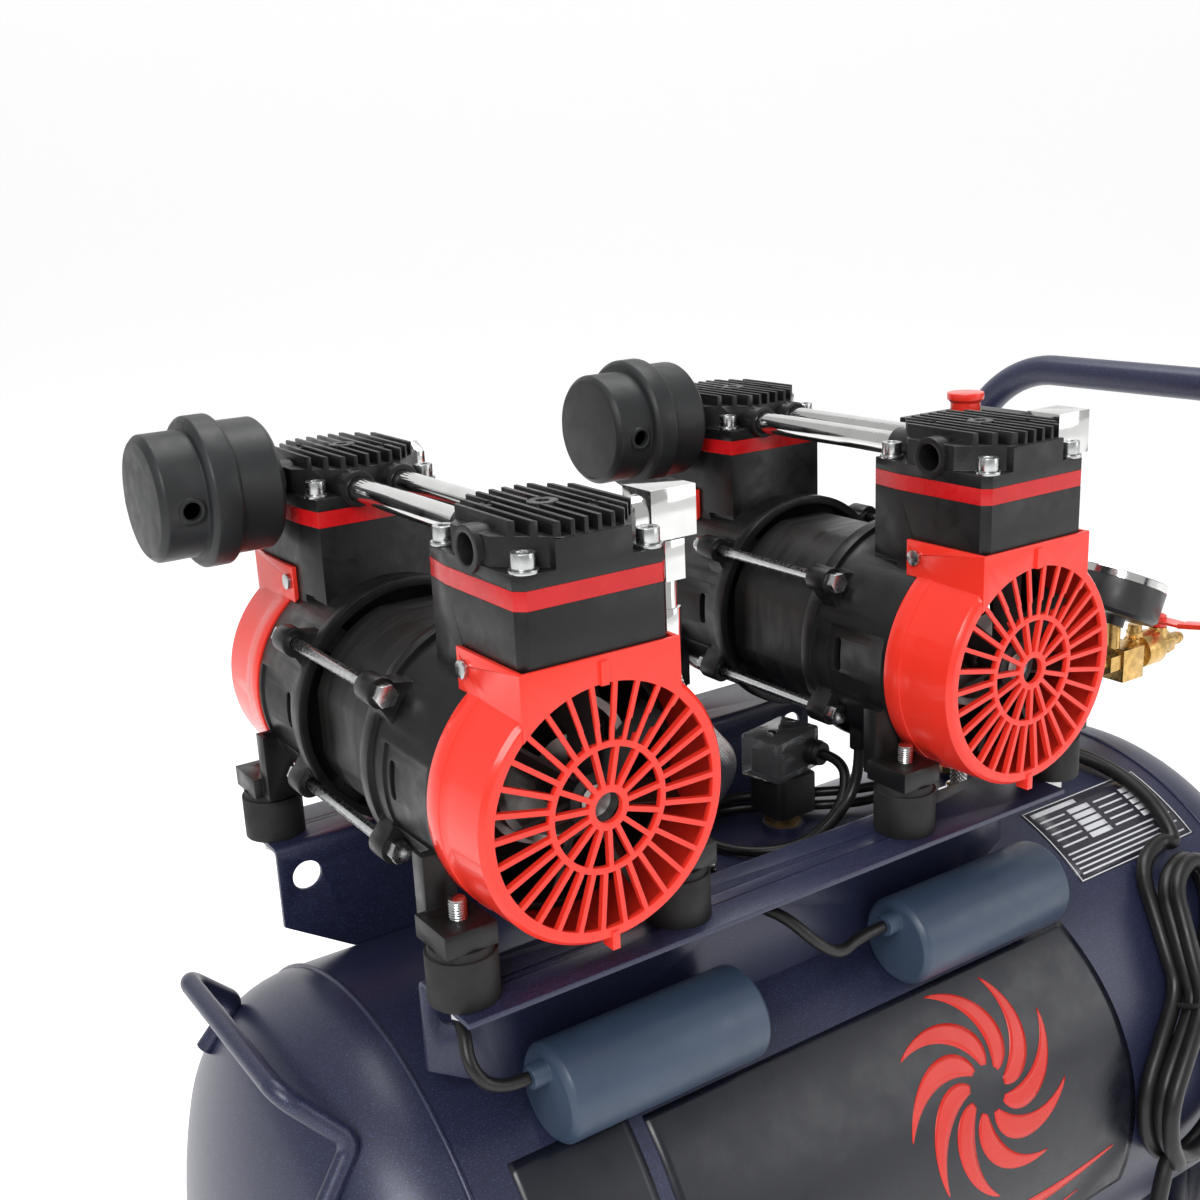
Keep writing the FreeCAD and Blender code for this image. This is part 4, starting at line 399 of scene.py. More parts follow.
def surface_piece(name, grid, material, body=MACHINE, wrap=True, caps=True):
    """A mesh from a grid of points, rows by columns: wrapped round and capped if it is a closed shape."""
    rows, columns = grid.shape[:2]
    quads, corner_rows, corner_columns = sheet_of_quads(rows, columns, wrap)
    faces = quads.tolist()
    if wrap and caps:
        faces += [list(range(columns))[::-1], list(range((rows - 1) * columns, rows * columns))]
    mesh = bpy.data.meshes.new(name)
    mesh.from_pydata(grid.reshape(-1, 3).tolist(), [], faces)
    uv = mesh.uv_layers.new(name="surface")
    flat = np.zeros((len(mesh.loops), 2))
    flat[:quads.size, 0] = (corner_columns / (columns if wrap else columns - 1)).ravel()
    flat[:quads.size, 1] = (corner_rows / (rows - 1)).ravel()
    uv.data.foreach_set("uv", flat.ravel())
    mesh.polygons.foreach_set("use_smooth", np.ones(len(mesh.polygons), dtype=bool))
    if wrap:
        point_outwards(mesh)
    mesh.materials.append(material)
    piece = bpy.data.objects.new(name, mesh)
    bpy.context.scene.collection.objects.link(piece)
    if caps and wrap:
        soften(piece, 0, weld=False)
    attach(piece, body)
    return piece


def point_outwards(mesh):
    """Turns the faces of a closed mesh outwards after its doubles are merged."""
    work = bmesh.new()
    work.from_mesh(mesh)
    bmesh.ops.remove_doubles(work, verts=work.verts, dist=1e-7)
    bmesh.ops.recalc_face_normals(work, faces=work.faces)
    work.to_mesh(mesh)
    work.free()


def edge_shading():
    """A node group that smooths shading except across edges sharper than its angle."""
    group = bpy.data.node_groups.get("edge_shading")
    if group:
        return group
    group = bpy.data.node_groups.new("edge_shading", "GeometryNodeTree")
    group.interface.new_socket("Geometry", in_out="INPUT", socket_type="NodeSocketGeometry")
    group.interface.new_socket("Geometry", in_out="OUTPUT", socket_type="NodeSocketGeometry")
    nodes, links = group.nodes, group.links
    start, end = nodes.new("NodeGroupInput"), nodes.new("NodeGroupOutput")
    faces, edges = nodes.new("GeometryNodeSetShadeSmooth"), nodes.new("GeometryNodeSetShadeSmooth")
    edges.domain = "EDGE"
    edges.inputs["Shade Smooth"].default_value = False
    angle = nodes.new("GeometryNodeInputMeshEdgeAngle")
    sharp = nodes.new("FunctionNodeCompare")
    sharp.operation = "GREATER_THAN"
    sharp.inputs["B"].default_value = math.radians(32)
    links.new(angle.outputs["Unsigned Angle"], sharp.inputs["A"])
    links.new(start.outputs["Geometry"], faces.inputs["Geometry"])
    links.new(faces.outputs["Geometry"], edges.inputs["Geometry"])
    links.new(sharp.outputs["Result"], edges.inputs["Selection"])
    links.new(edges.outputs["Geometry"], end.inputs["Geometry"])
    return group


def soften(piece, width, weld=True):
    """Rounds a piece's sharp edges and shades it smooth between them."""
    if weld:
        piece.modifiers.new("weld", "WELD").merge_threshold = 1e-5
    if width:
        bevel = piece.modifiers.new("edges", "BEVEL")
        bevel.width = width
        bevel.segments = 2
        bevel.limit_method = "ANGLE"
        bevel.angle_limit = math.radians(38)
        bevel.use_clamp_overlap = False
    piece.modifiers.new("shading", "NODES").node_group = edge_shading()


def dress(names, material, edge):
    """Gives CAD nodes a finish and soft edges."""
    for name in names:
        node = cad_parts[name]
        node.data.materials.clear()
        node.data.materials.append(material)
        soften(node, edge)


def unit(vectors):
    """Vectors made one long."""
    return vectors / np.maximum(np.linalg.norm(vectors, axis=-1, keepdims=True), 1e-12)


def frames_along(line):
    """Two directions square to a line at each of its points, turned as little as can be along it."""
    ahead = unit(np.gradient(line, axis=0))
    side = np.empty_like(ahead)
    seed = np.eye(3)[np.argmin(np.abs(ahead[0]))]
    side[0] = unit(np.cross(ahead[0], seed))
    for station in range(1, len(line)):
        side[station] = unit(side[station - 1] - ahead[station] * (side[station - 1] @ ahead[station]))
    return side, np.cross(ahead, side)


def carried(line, radius, around=48):
    """Points of a round tube on a line: centre plus radius times (cos a side + sin a other).

    radius is one number, one for each point of the line, or a grid of line points by steps round."""
    side, other = frames_along(line)
    turn = np.linspace(0, 2 * np.pi, around, endpoint=False)
    reach = np.broadcast_to(np.asarray(radius, dtype=float).reshape(
        np.shape(radius) if np.ndim(radius) == 2 else (-1, 1)), (len(line), around))
    spoke = side[:, None] * np.cos(turn)[None, :, None] + other[:, None] * np.sin(turn)[None, :, None]
    return line[:, None] + reach[..., None] * spoke


def turned_on(base, axis, profile, around=96):
    """Points of a turned shape: each (radius, rise) of the profile swung round an axis from its base."""
    axis = unit(np.asarray(axis, dtype=float))
    side = unit(np.cross(axis, np.eye(3)[np.argmin(np.abs(axis))]))
    other = np.cross(axis, side)
    turn = np.linspace(0, 2 * np.pi, around, endpoint=False)
    spoke = np.cos(turn)[:, None] * side + np.sin(turn)[:, None] * other
    profile = np.asarray(profile, dtype=float)
    return (np.asarray(base) + profile[:, None, 1:] * axis
            + profile[:, :1, None] * spoke[None])


def resampled(line, spacing):
    """A line's points moved to an even spacing."""
    steps = np.concatenate([[0], np.cumsum(np.linalg.norm(np.diff(line, axis=0), axis=1))])
    stations = np.linspace(0, steps[-1], max(4, int(steps[-1] / spacing)))
    return np.stack([np.interp(stations, steps, line[:, axis]) for axis in range(3)], -1), stations


# ---------------------------------------------------------------- cords

def spline_of(name, route, diameter):
    """A smooth NURBS line through the pull of the route's points, round in section."""
    curve = bpy.data.curves.new(name, "CURVE")
    curve.dimensions = "3D"
    curve.bevel_depth = diameter / 2
    curve.bevel_resolution = 6
    curve.resolution_u = 10
    curve.use_fill_caps = True
    spline = curve.splines.new("NURBS")
    spline.points.add(len(route) - 1)
    points = np.column_stack([np.asarray(route), np.ones(len(route))])
    spline.points.foreach_set("co", points.ravel())
    spline.order_u = 3
    spline.use_endpoint_u = True
    piece = bpy.data.objects.new(name, curve)
    bpy.context.scene.collection.objects.link(piece)
    return piece


def line_of(piece):
    """The centre line that a curve draws, as points."""
    bare = piece.copy()
    bare.data = piece.data.copy()
    bare.data.bevel_depth = 0
    bpy.context.scene.collection.objects.link(bare)
    bpy.context.view_layer.update()
    drawn = bpy.data.meshes.new_from_object(bare.evaluated_get(bpy.context.evaluated_depsgraph_get()))
    points = np.empty(len(drawn.vertices) * 3)
    drawn.vertices.foreach_get("co", points)
    bpy.data.objects.remove(bare)
    return points.reshape(-1, 3)


def lay_cord(name, route, diameter, material,
             with_pieces=()):
    """A cord on its route: a curve."""
    piece = spline_of(name, route, diameter)
    piece.data.materials.append(material)
    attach(piece, MACHINE)
    line = line_of(piece)
    return piece


def relief_sleeve(name, start, ahead, radius, length, material):
    """A tapered, ribbed strain relief: its radius falls from its root to the cord, with five rings cut in."""
    rise = np.linspace(0, 1, 61)
    body = radius * (1.75 - 0.62 * rise) - 0.0007 * (np.sin(rise * 10 * np.pi) > 0.25) * (rise > 0.15)
    line = np.asarray(start) + rise[:, None] * length * unit(np.asarray(ahead, dtype=float))
    piece = surface_piece(name, carried(line, body, 40), material)
    return piece


def hank_route(layer, radius):
    """The cord's points through the hank: two turns and a half, each a layer further out.

    A layer's turns lie at radius plus layer times -1, 0 or 1 from the tank's axis, and step aside a
    little in turn, so that strands lie a diameter apart."""
    turn = np.array(HANK_TURN)
    inward = unit(np.array([0.408, -0.25]) - turn)
    passes = [turn - 0.0016 * inward, turn + 0.0030 * inward, (turn - 0.0016 * inward)[:9]]
    layers = [-1.0, 0.0, 1.0]
    points = []
    for spots, level in zip(passes, layers):
        reach = radius + layer * level
        rise = np.clip(spots[:, 1] + PUMP_RISE, 0, reach)
        across = -np.sqrt(reach ** 2 - rise ** 2)
        points.append(np.column_stack([spots[:, 0], across, spots[:, 1]]))
    return np.concatenate(points)


# ---------------------------------------------------------------- places on the tank and the gauge

def on_tank(along, lean, radius):
    """Points on the tank's barrel: along X, and lean radians above level on the side with the decal."""
    along, lean = np.broadcast_arrays(along, lean)
    return np.stack([along, -radius * np.cos(lean), TANK_AXIS + radius * np.sin(lean)], -1)


def film_patch(name, grid, material, thick):
    """A thin printed film: an open grid given a wall outwards."""
    piece = surface_piece(name, grid, material, wrap=False)
    wall = piece.modifiers.new("film", "SOLIDIFY")
    wall.thickness = thick
    wall.offset = 1.0
    return piece


def tank_patch(name, left, right, low, high, radius, material, thick, rows=24, columns=24):
    """Film on the barrel between two leans, whose left and right edges are functions of the lean."""
    lean = np.linspace(low, high, rows)[:, None]
    share = np.linspace(0, 1, columns)[None]
    along = left(lean) + (right(lean) - left(lean)) * share
    return film_patch(name, on_tank(along, lean, radius), material, thick)


# ---------------------------------------------------------------- operators

class PieceOperator:
    """What the operators share."""
    bl_options = {"REGISTER", "UNDO"}

    @staticmethod
    def settings(context):
        return context.scene.compressor_colours, context.scene.compressor_sizes


class COMPRESSOR_OT_pumps(PieceOperator, bpy.types.Operator):
    """Finishes the two motors: castings, covers, plates, tubes and moving parts."""
    bl_idname = "compressor.pumps"
    bl_label = "Pumps"

    def execute(self, context):
        colours, sizes = self.settings(context)
        edge = sizes.edge
        dress(CASTINGS, black_casting(tuple(colours.casting)), edge)
        dress(COVERS, gloss_red(tuple(colours.cover)), edge * 0.8)
        dress(["valve_plates"], plate_red(tuple(colours.plate)), edge * 0.6)
        dress(STATORS, laminated_steel(), 0)
        dress(ROTORS + SHAFTS + ["bearings", "cylinder_sleeves"] + PISTONS, plain_steel(), 0)
        dress(FANS, moulded_black(), 0)
        dress(SILENCERS, silencer_grey(tuple(colours.silencer)), edge * 2)
        dress(["crossover_tubes"], chrome(), 0)
        dress(["cover_screws", "tie_bolts", "head_screws", "mount_studs"], zinc(), edge * 0.5)
        dress(["rubber_mounts"], rubber(), edge)
        return {"FINISHED"}


class COMPRESSOR_OT_frame(PieceOperator, bpy.types.Operator):
    """Finishes the tank, rails, handles, brackets and capacitors."""
    bl_idname = "compressor.frame"
    bl_label = "Tank and frame"

    def execute(self, context):
        colours, sizes = self.settings(context)
        paint = powder_coat(tuple(colours.paint))
        dress(["tank", "front_handle", "push_handle"], paint, 0)
        dress(["rail_front", "rail_rear", "wheel_brackets", "foot_bracket"], paint, sizes.edge * 1.2)
        dress(["capacitors"], capacitor_blue(tuple(colours.capacitor)), sizes.edge * 2)
        dress(["axle"], zinc(), 0)
        dress(["foot_pads"], rubber(), sizes.edge)
        return {"FINISHED"}


class COMPRESSOR_OT_fittings(PieceOperator, bpy.types.Operator):
    """Finishes the air fittings, switch, valves and plug."""
    bl_idname = "compressor.fittings"
    bl_label = "Fittings"

    def execute(self, context):
        colours, sizes = self.settings(context)
        edge = sizes.edge
        dress(["hose_fittings"], chrome(), edge * 0.5)
        dress(["air_manifold"], brass(tuple(colours.brass)), edge)
        dress(["pressure_switch"], moulded_black(), edge * 2)
        dress(["power_plug"], cord_jacket(), edge * 2)
        dress(["switch_knob"], gloss_red(tuple(colours.cover)), edge)
        dress(["valve_lever"], dipped_red(tuple(colours.cover)), edge)
        dress(["pressure_gauge"], varied("gauge_case", (0.022, 0.022, 0.023), 0.38), edge)
        dress(["gauge_needle"], printed("needle_black", (0.02, 0.02, 0.02)), 0)
        return {"FINISHED"}


class COMPRESSOR_OT_gauge(PieceOperator, bpy.types.Operator):
    """Makes the gauge's dial, marks, lens and bright bezel."""
    bl_idname = "compressor.gauge"
    bl_label = "Pressure gauge"

    def execute(self, context):
        base, down, across, out = gauge_base()
        dial = printed("dial_white", (0.82, 0.82, 0.80))
        ink = printed("dial_ink", (0.02, 0.02, 0.02))
        grid = turned_on(base, out, [(0.0001, 0.0341), (0.0300, 0.0341), (0.0300, 0.0343), (0.0001, 0.0343)])
        surface_piece("gauge_dial", grid, dial)
        for index in range(31):
            self.mark(base, down, across, out, index, ink)
        for index in range(6):
            self.number(base, down, across, out, index, ink)
        glass = turned_on(base, out, [(0.0001, 0.0376), (0.0303, 0.0370), (0.0303, 0.0380), (0.0001, 0.0386)])
        surface_piece("gauge_lens", glass, clear_plastic())
        lip = turned_on(base, out, [(0.0304, 0.0372), (0.0304, 0.0394), (0.0310, 0.0400), (0.0330, 0.0400),
                                    (0.0335, 0.0394), (0.0335, 0.0345), (0.03302, 0.0342), (0.03302, 0.0372)])
        surface_piece("gauge_bezel", lip, chrome("bezel_chrome", 0.14))
        return {"FINISHED"}

    @staticmethod
    def bearing(share):
        """Direction of a share of the scale on the dial, in radians from its foot."""
        return math.radians(-45 - 270 * share)

    def mark(self, base, down, across, out, index, ink):
        """One tick of the scale; every sixth is long."""
        turn = self.bearing(index / 30)
        ray = down * math.cos(turn) + across * math.sin(turn)
        aside = np.cross(out, ray)
        deep = 0.0050 if index % 6 == 0 else 0.0028
        half = 0.00035 if index % 6 == 0 else 0.0002
        edges = np.array([[0.0272 - deep, -half], [0.0272 - deep, half], [0.0272, half], [0.0272, -half]])
        ring = base + edges[:, :1] * ray + edges[:, 1:] * aside
        grid = np.stack([ring + out * 0.03425, ring + out * 0.03442])
        surface_piece(f"gauge_mark_{index:02d}", grid, ink)

    def number(self, base, down, across, out, index, ink):
        """One number of the scale, drawn upright for a reader at the dial's foot."""
        text = bpy.data.curves.new(f"gauge_number_{index}", "FONT")
        text.body = str(index * 2)
        text.size = 0.0062
        text.align_x = "CENTER"
        text.align_y = "CENTER"
        text.extrude = 0.00008
        turn = self.bearing(index / 5)
        spot = base + 0.0182 * (down * math.cos(turn) + across * math.sin(turn)) + out * 0.03438
        upright = Matrix(np.column_stack([across, -down, out]).tolist()).to_4x4()
        place = Matrix.Translation(Vector(spot)) @ upright
        drawn = bpy.data.objects.new("text", text)
        bpy.context.scene.collection.objects.link(drawn)
        bpy.context.view_layer.update()
        mesh = bpy.data.meshes.new_from_object(drawn.evaluated_get(bpy.context.evaluated_depsgraph_get()))
        mesh.transform(place)
        mesh.materials.clear()
        mesh.materials.append(ink)
        bpy.data.objects.remove(drawn)
        piece = bpy.data.objects.new(f"gauge_number_{index}", mesh)
        bpy.context.scene.collection.objects.link(piece)
        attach(piece, MACHINE)


def gauge_base():
    """Foot of the gauge's axis and the dial's directions: to the reader, across and out."""
    out = np.array([math.sin(GAUGE_TILT), 0, math.cos(GAUGE_TILT)])
    down = np.array([math.cos(GAUGE_TILT), 0, -math.sin(GAUGE_TILT)])
    return np.array(GAUGE_FOOT), down, np.cross(out, down), out


class COMPRESSOR_OT_hoses(PieceOperator, bpy.types.Operator):
    """Makes the two braided discharge hoses."""
    bl_idname = "compressor.hoses"
    bl_label = "Braided hoses"

    def execute(self, context):
        _, sizes = self.settings(context)
        steel = braided_steel()
        shift = np.array([RIGHT_PUMP[0] - LEFT_PUMP[0], 0, 0])
        routes = (("left", np.array(LEFT_HOSE)), ("right", np.array(RIGHT_HOSE) + shift))
        for index, (side, route) in enumerate(routes):
            bare = spline_of(f"{side}_hose_line", route + ORIGIN, sizes.hose)
            line, stations = resampled(line_of(bare), 0.00045)
            bpy.data.objects.remove(bare)
            piece = surface_piece(f"{side}_hose_braid", self.braid(line, stations, sizes), steel)
            if index == 0:
                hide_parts("discharge_hoses")
        return {"FINISHED"}

    @staticmethod
    def braid(line, stations, sizes):
        """Tube whose radius swells under the nearer of two crossing spirals: max(|cos a|, |cos b|)."""
        around = sizes.braid_strands * 6
        turn = np.linspace(0, 2 * np.pi, around, endpoint=False)[None]
        climb = sizes.braid_strands * stations[:, None] / (sizes.hose / 2)
        one = np.abs(np.cos((sizes.braid_strands * turn + climb) / 2))
        other = np.abs(np.cos((sizes.braid_strands * turn - climb) / 2))
        radius = sizes.hose / 2 - sizes.braid_height * (1 - np.maximum(one, other)) * 2.2
        return carried(line, radius, around)


class COMPRESSOR_OT_leads(PieceOperator, bpy.types.Operator):
    """Makes the leads of motors, capacitors and valve."""
    bl_idname = "compressor.leads"
    bl_label = "Leads"

    def execute(self, context):
        _, sizes = self.settings(context)
        jacket = cord_jacket()
        routes = (("left_capacitor_lead", LEFT_CAPACITOR_LEAD),
                  ("right_capacitor_lead", RIGHT_CAPACITOR_LEAD),
                  ("left_motor_lead", LEFT_MOTOR_LEAD), ("right_motor_lead", RIGHT_MOTOR_LEAD),
                  ("valve_lead", VALVE_LEAD))
        for index, (name, route) in enumerate(routes):
            piece = lay_cord(name, np.array(route) + ORIGIN, sizes.lead, jacket)
            if index == 0:
                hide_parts("supply_leads")
        return {"FINISHED"}


class COMPRESSOR_OT_power_cord(PieceOperator, bpy.types.Operator):
    """Makes the power cord, its tied hank and its strain reliefs."""
    bl_idname = "compressor.power_cord"
    bl_label = "Power cord"

    def execute(self, context):
        _, sizes = self.settings(context)
        jacket = cord_jacket()
        hank = hank_route(sizes.hank_layer, HANK_RADIUS)
        route = np.concatenate([np.array(CORD_START), hank, np.array(CORD_END)]) + ORIGIN
        reliefs = [relief_sleeve("switch_strain_relief", route[0] + (0, 0, 0.001), (0, 0, -1),
                                 sizes.cord / 2, 0.028, jacket),
                   relief_sleeve("plug_strain_relief", route[-1] - (0, 0, 0.002), (0, 0, 1),
                                 sizes.cord / 2, 0.034, jacket)]
        cord = lay_cord("power_cord_line", route, sizes.cord, jacket,
                        with_pieces=[*reliefs, self.band(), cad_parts["power_plug"]])
        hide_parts("power_cord", "cord_hank")
        return {"FINISHED"}

    @staticmethod
    def band():
        """The tie: a flat strap round the waist, its ring a rounded oblong of radius to the power 0.35."""
        centre = np.array([0.4115, 0.0, -0.234]) + ORIGIN
        rise = centre[2] - TANK_AXIS
        centre[1] = -math.sqrt(HANK_RADIUS ** 2 - rise ** 2)
        out = unit(np.array([0, centre[1], rise]))
        down = np.cross(out, (1.0, 0, 0))
        turn = np.linspace(0, 2 * np.pi, 72, endpoint=False)
        flat = np.sign(np.cos(turn)) * np.abs(np.cos(turn)) ** 0.5 * 0.0205
        deep = np.sign(np.sin(turn)) * np.abs(np.sin(turn)) ** 0.5 * 0.0140
        ring = centre + flat[:, None] * np.array([1.0, 0, 0]) + deep[:, None] * out
        section = np.array([(-0.0016, 1.0), (0.0016, 1.0), (0.0016, 1.07), (-0.0016, 1.07)])
        grid = np.stack([centre + (ring - centre) * scale + down * step for step, scale in section])
        piece = surface_piece("hank_tie", np.concatenate([grid, grid[:1]]), rubber("tie_rubber"),
                              caps=False)
        return piece


class COMPRESSOR_OT_stud_threads(PieceOperator, bpy.types.Operator):
    """Cuts the thread that shows on the studs above the pumps' feet."""
    bl_idname = "compressor.stud_threads"
    bl_label = "Stud threads"

    def execute(self, context):
        steel = zinc()
        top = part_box("mount_studs")[1][2]
        for side, pump in (("left", LEFT_PUMP), ("right", RIGHT_PUMP)):
            for index, (way_x, way_y) in enumerate(((-1, -1), (1, -1), (-1, 1), (1, 1))):
                spot = np.array([pump[0] + way_x * 0.0592, way_y * 0.110, top - 0.0095])
                surface_piece(f"stud_thread_{side}_{index + 1}", self.thread(spot), steel)
        return {"FINISHED"}

    @staticmethod
    def thread(spot):
        """A sleeve whose radius rises and falls with height less turn: a single-start triangular thread."""
        rise = np.linspace(0, 0.0092, 74)[:, None]
        turn = np.linspace(0, 2 * np.pi, 40, endpoint=False)[None]
        phase = (rise / 0.00125 - turn / (2 * np.pi)) % 1.0
        radius = 0.00388 + 0.00040 * (1 - np.abs(2 * phase - 1))
        radius = np.where((rise < 0.0003) | (rise > 0.0089), 0.00380, radius)
        points = np.stack([radius * np.cos(turn), radius * np.sin(turn), rise + 0 * turn], -1)
        return spot + points


class COMPRESSOR_OT_start_valve(PieceOperator, bpy.types.Operator):
    """Makes the start valve: brass foot, moulded coil and its clear connector."""
    bl_idname = "compressor.start_valve"
    bl_label = "Start valve"

    def execute(self, context):
        colours, _ = self.settings(context)
        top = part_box("solenoid_valve")[1][2]
        seat = np.array([0.0043, 0.012, top - 0.0615])
        black, steel = moulded_black(), zinc()
        foot = surface_piece("valve_foot", self.hexagon(seat), brass(tuple(colours.brass)))
        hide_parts("solenoid_valve")
        surface_piece("valve_coil", self.block(seat + (0, 0, 0.021), (0.030, 0.030, 0.026), 10, 0), black)
        middle_of = np.array([0.0043, 0.014, seat[2] + 0.034 + 0.013])
        surface_piece("valve_connector_cover", self.block(middle_of, (0.042, 0.030, 0.0262), 14, 12),
                      clear_plastic())
        core = self.block(middle_of - (0, 0, 0.003), (0.030, 0.020, 0.015), 8, 12)
        surface_piece("valve_connector_core", core, black)
        lean = math.radians(12)
        right = np.array([math.cos(lean), math.sin(lean), 0])
        front = np.array([math.sin(lean), -math.cos(lean), 0])
        gland = middle_of + right * 0.010 + front * 0.0152
        profile = [(0.0001, -0.004), (0.0062, -0.004), (0.0062, 0.0), (0.0080, 0.0002), (0.0080, 0.0028),
                   (0.0074, 0.0032), (0.0080, 0.0036), (0.0080, 0.0062), (0.0074, 0.0066), (0.0078, 0.0070),
                   (0.0070, 0.0098), (0.0034, 0.0100), (0.0034, 0.0080), (0.0001, 0.0080)]
        surface_piece("valve_gland", turned_on(gland, front, profile, 64), black)
        screw = middle_of - right * 0.008 + (0, 0, 0.0131)
        head = [(0.0001, -0.006), (0.0016, -0.006), (0.0016, 0.0), (0.0030, 0.0), (0.0030, 0.0010),
                (0.0024, 0.0015), (0.0001, 0.0015)]
        surface_piece("valve_screw", turned_on(screw, (0, 0, 1), head, 40), steel)
        return {"FINISHED"}

    @staticmethod
    def hexagon(seat):
        """A hexagon nut over a round thread: its radius is flat over cos of the turn from a face's middle."""
        turn = np.linspace(0, 2 * np.pi, 72, endpoint=False)
        flats = 0.010 / np.cos((turn + np.pi / 6) % (np.pi / 3) - np.pi / 6)
        rows = [(0.0063, -0.012), (0.0063, 0.0), (0.0, 0.0), (0.0, 0.0072), (-0.0008, 0.0080),
                (0.0060, 0.0080), (0.0060, 0.0085)]
        grid = []
        for reach, rise in rows:
            radius = np.full(72, reach) if reach > 0.001 else flats + reach
            grid.append(np.column_stack([radius * np.cos(turn), radius * np.sin(turn), np.full(72, rise)]))
        return seat + np.stack(grid)

    @staticmethod
    def block(centre, size, power, turn):
        """A box with rounded corners: |x|^p + |y|^p = 1 in plan, drawn in a little at top and bottom."""
        half = np.array(size) / 2
        angle = np.linspace(0, 2 * np.pi, 96, endpoint=False)
        plan = np.stack([np.sign(np.cos(angle)) * np.abs(np.cos(angle)) ** (2 / power),
                         np.sign(np.sin(angle)) * np.abs(np.sin(angle)) ** (2 / power)], -1)
        rises = np.array([-1, -0.97, -0.9, 0.9, 0.97, 1.0])
        draws = np.array([0.0010, 0.0003, 0.0, 0.0, 0.0003, 0.0010])
        flat = plan[None] * (half[:2] - draws[:, None])[:, None]
        lean = math.radians(turn)
        right = np.array([math.cos(lean), math.sin(lean), 0])
        rear = np.array([-math.sin(lean), math.cos(lean), 0])
        return (centre + flat[..., :1] * right + flat[..., 1:] * rear
                + rises[:, None, None] * half[2] * np.array([0, 0, 1.0]))


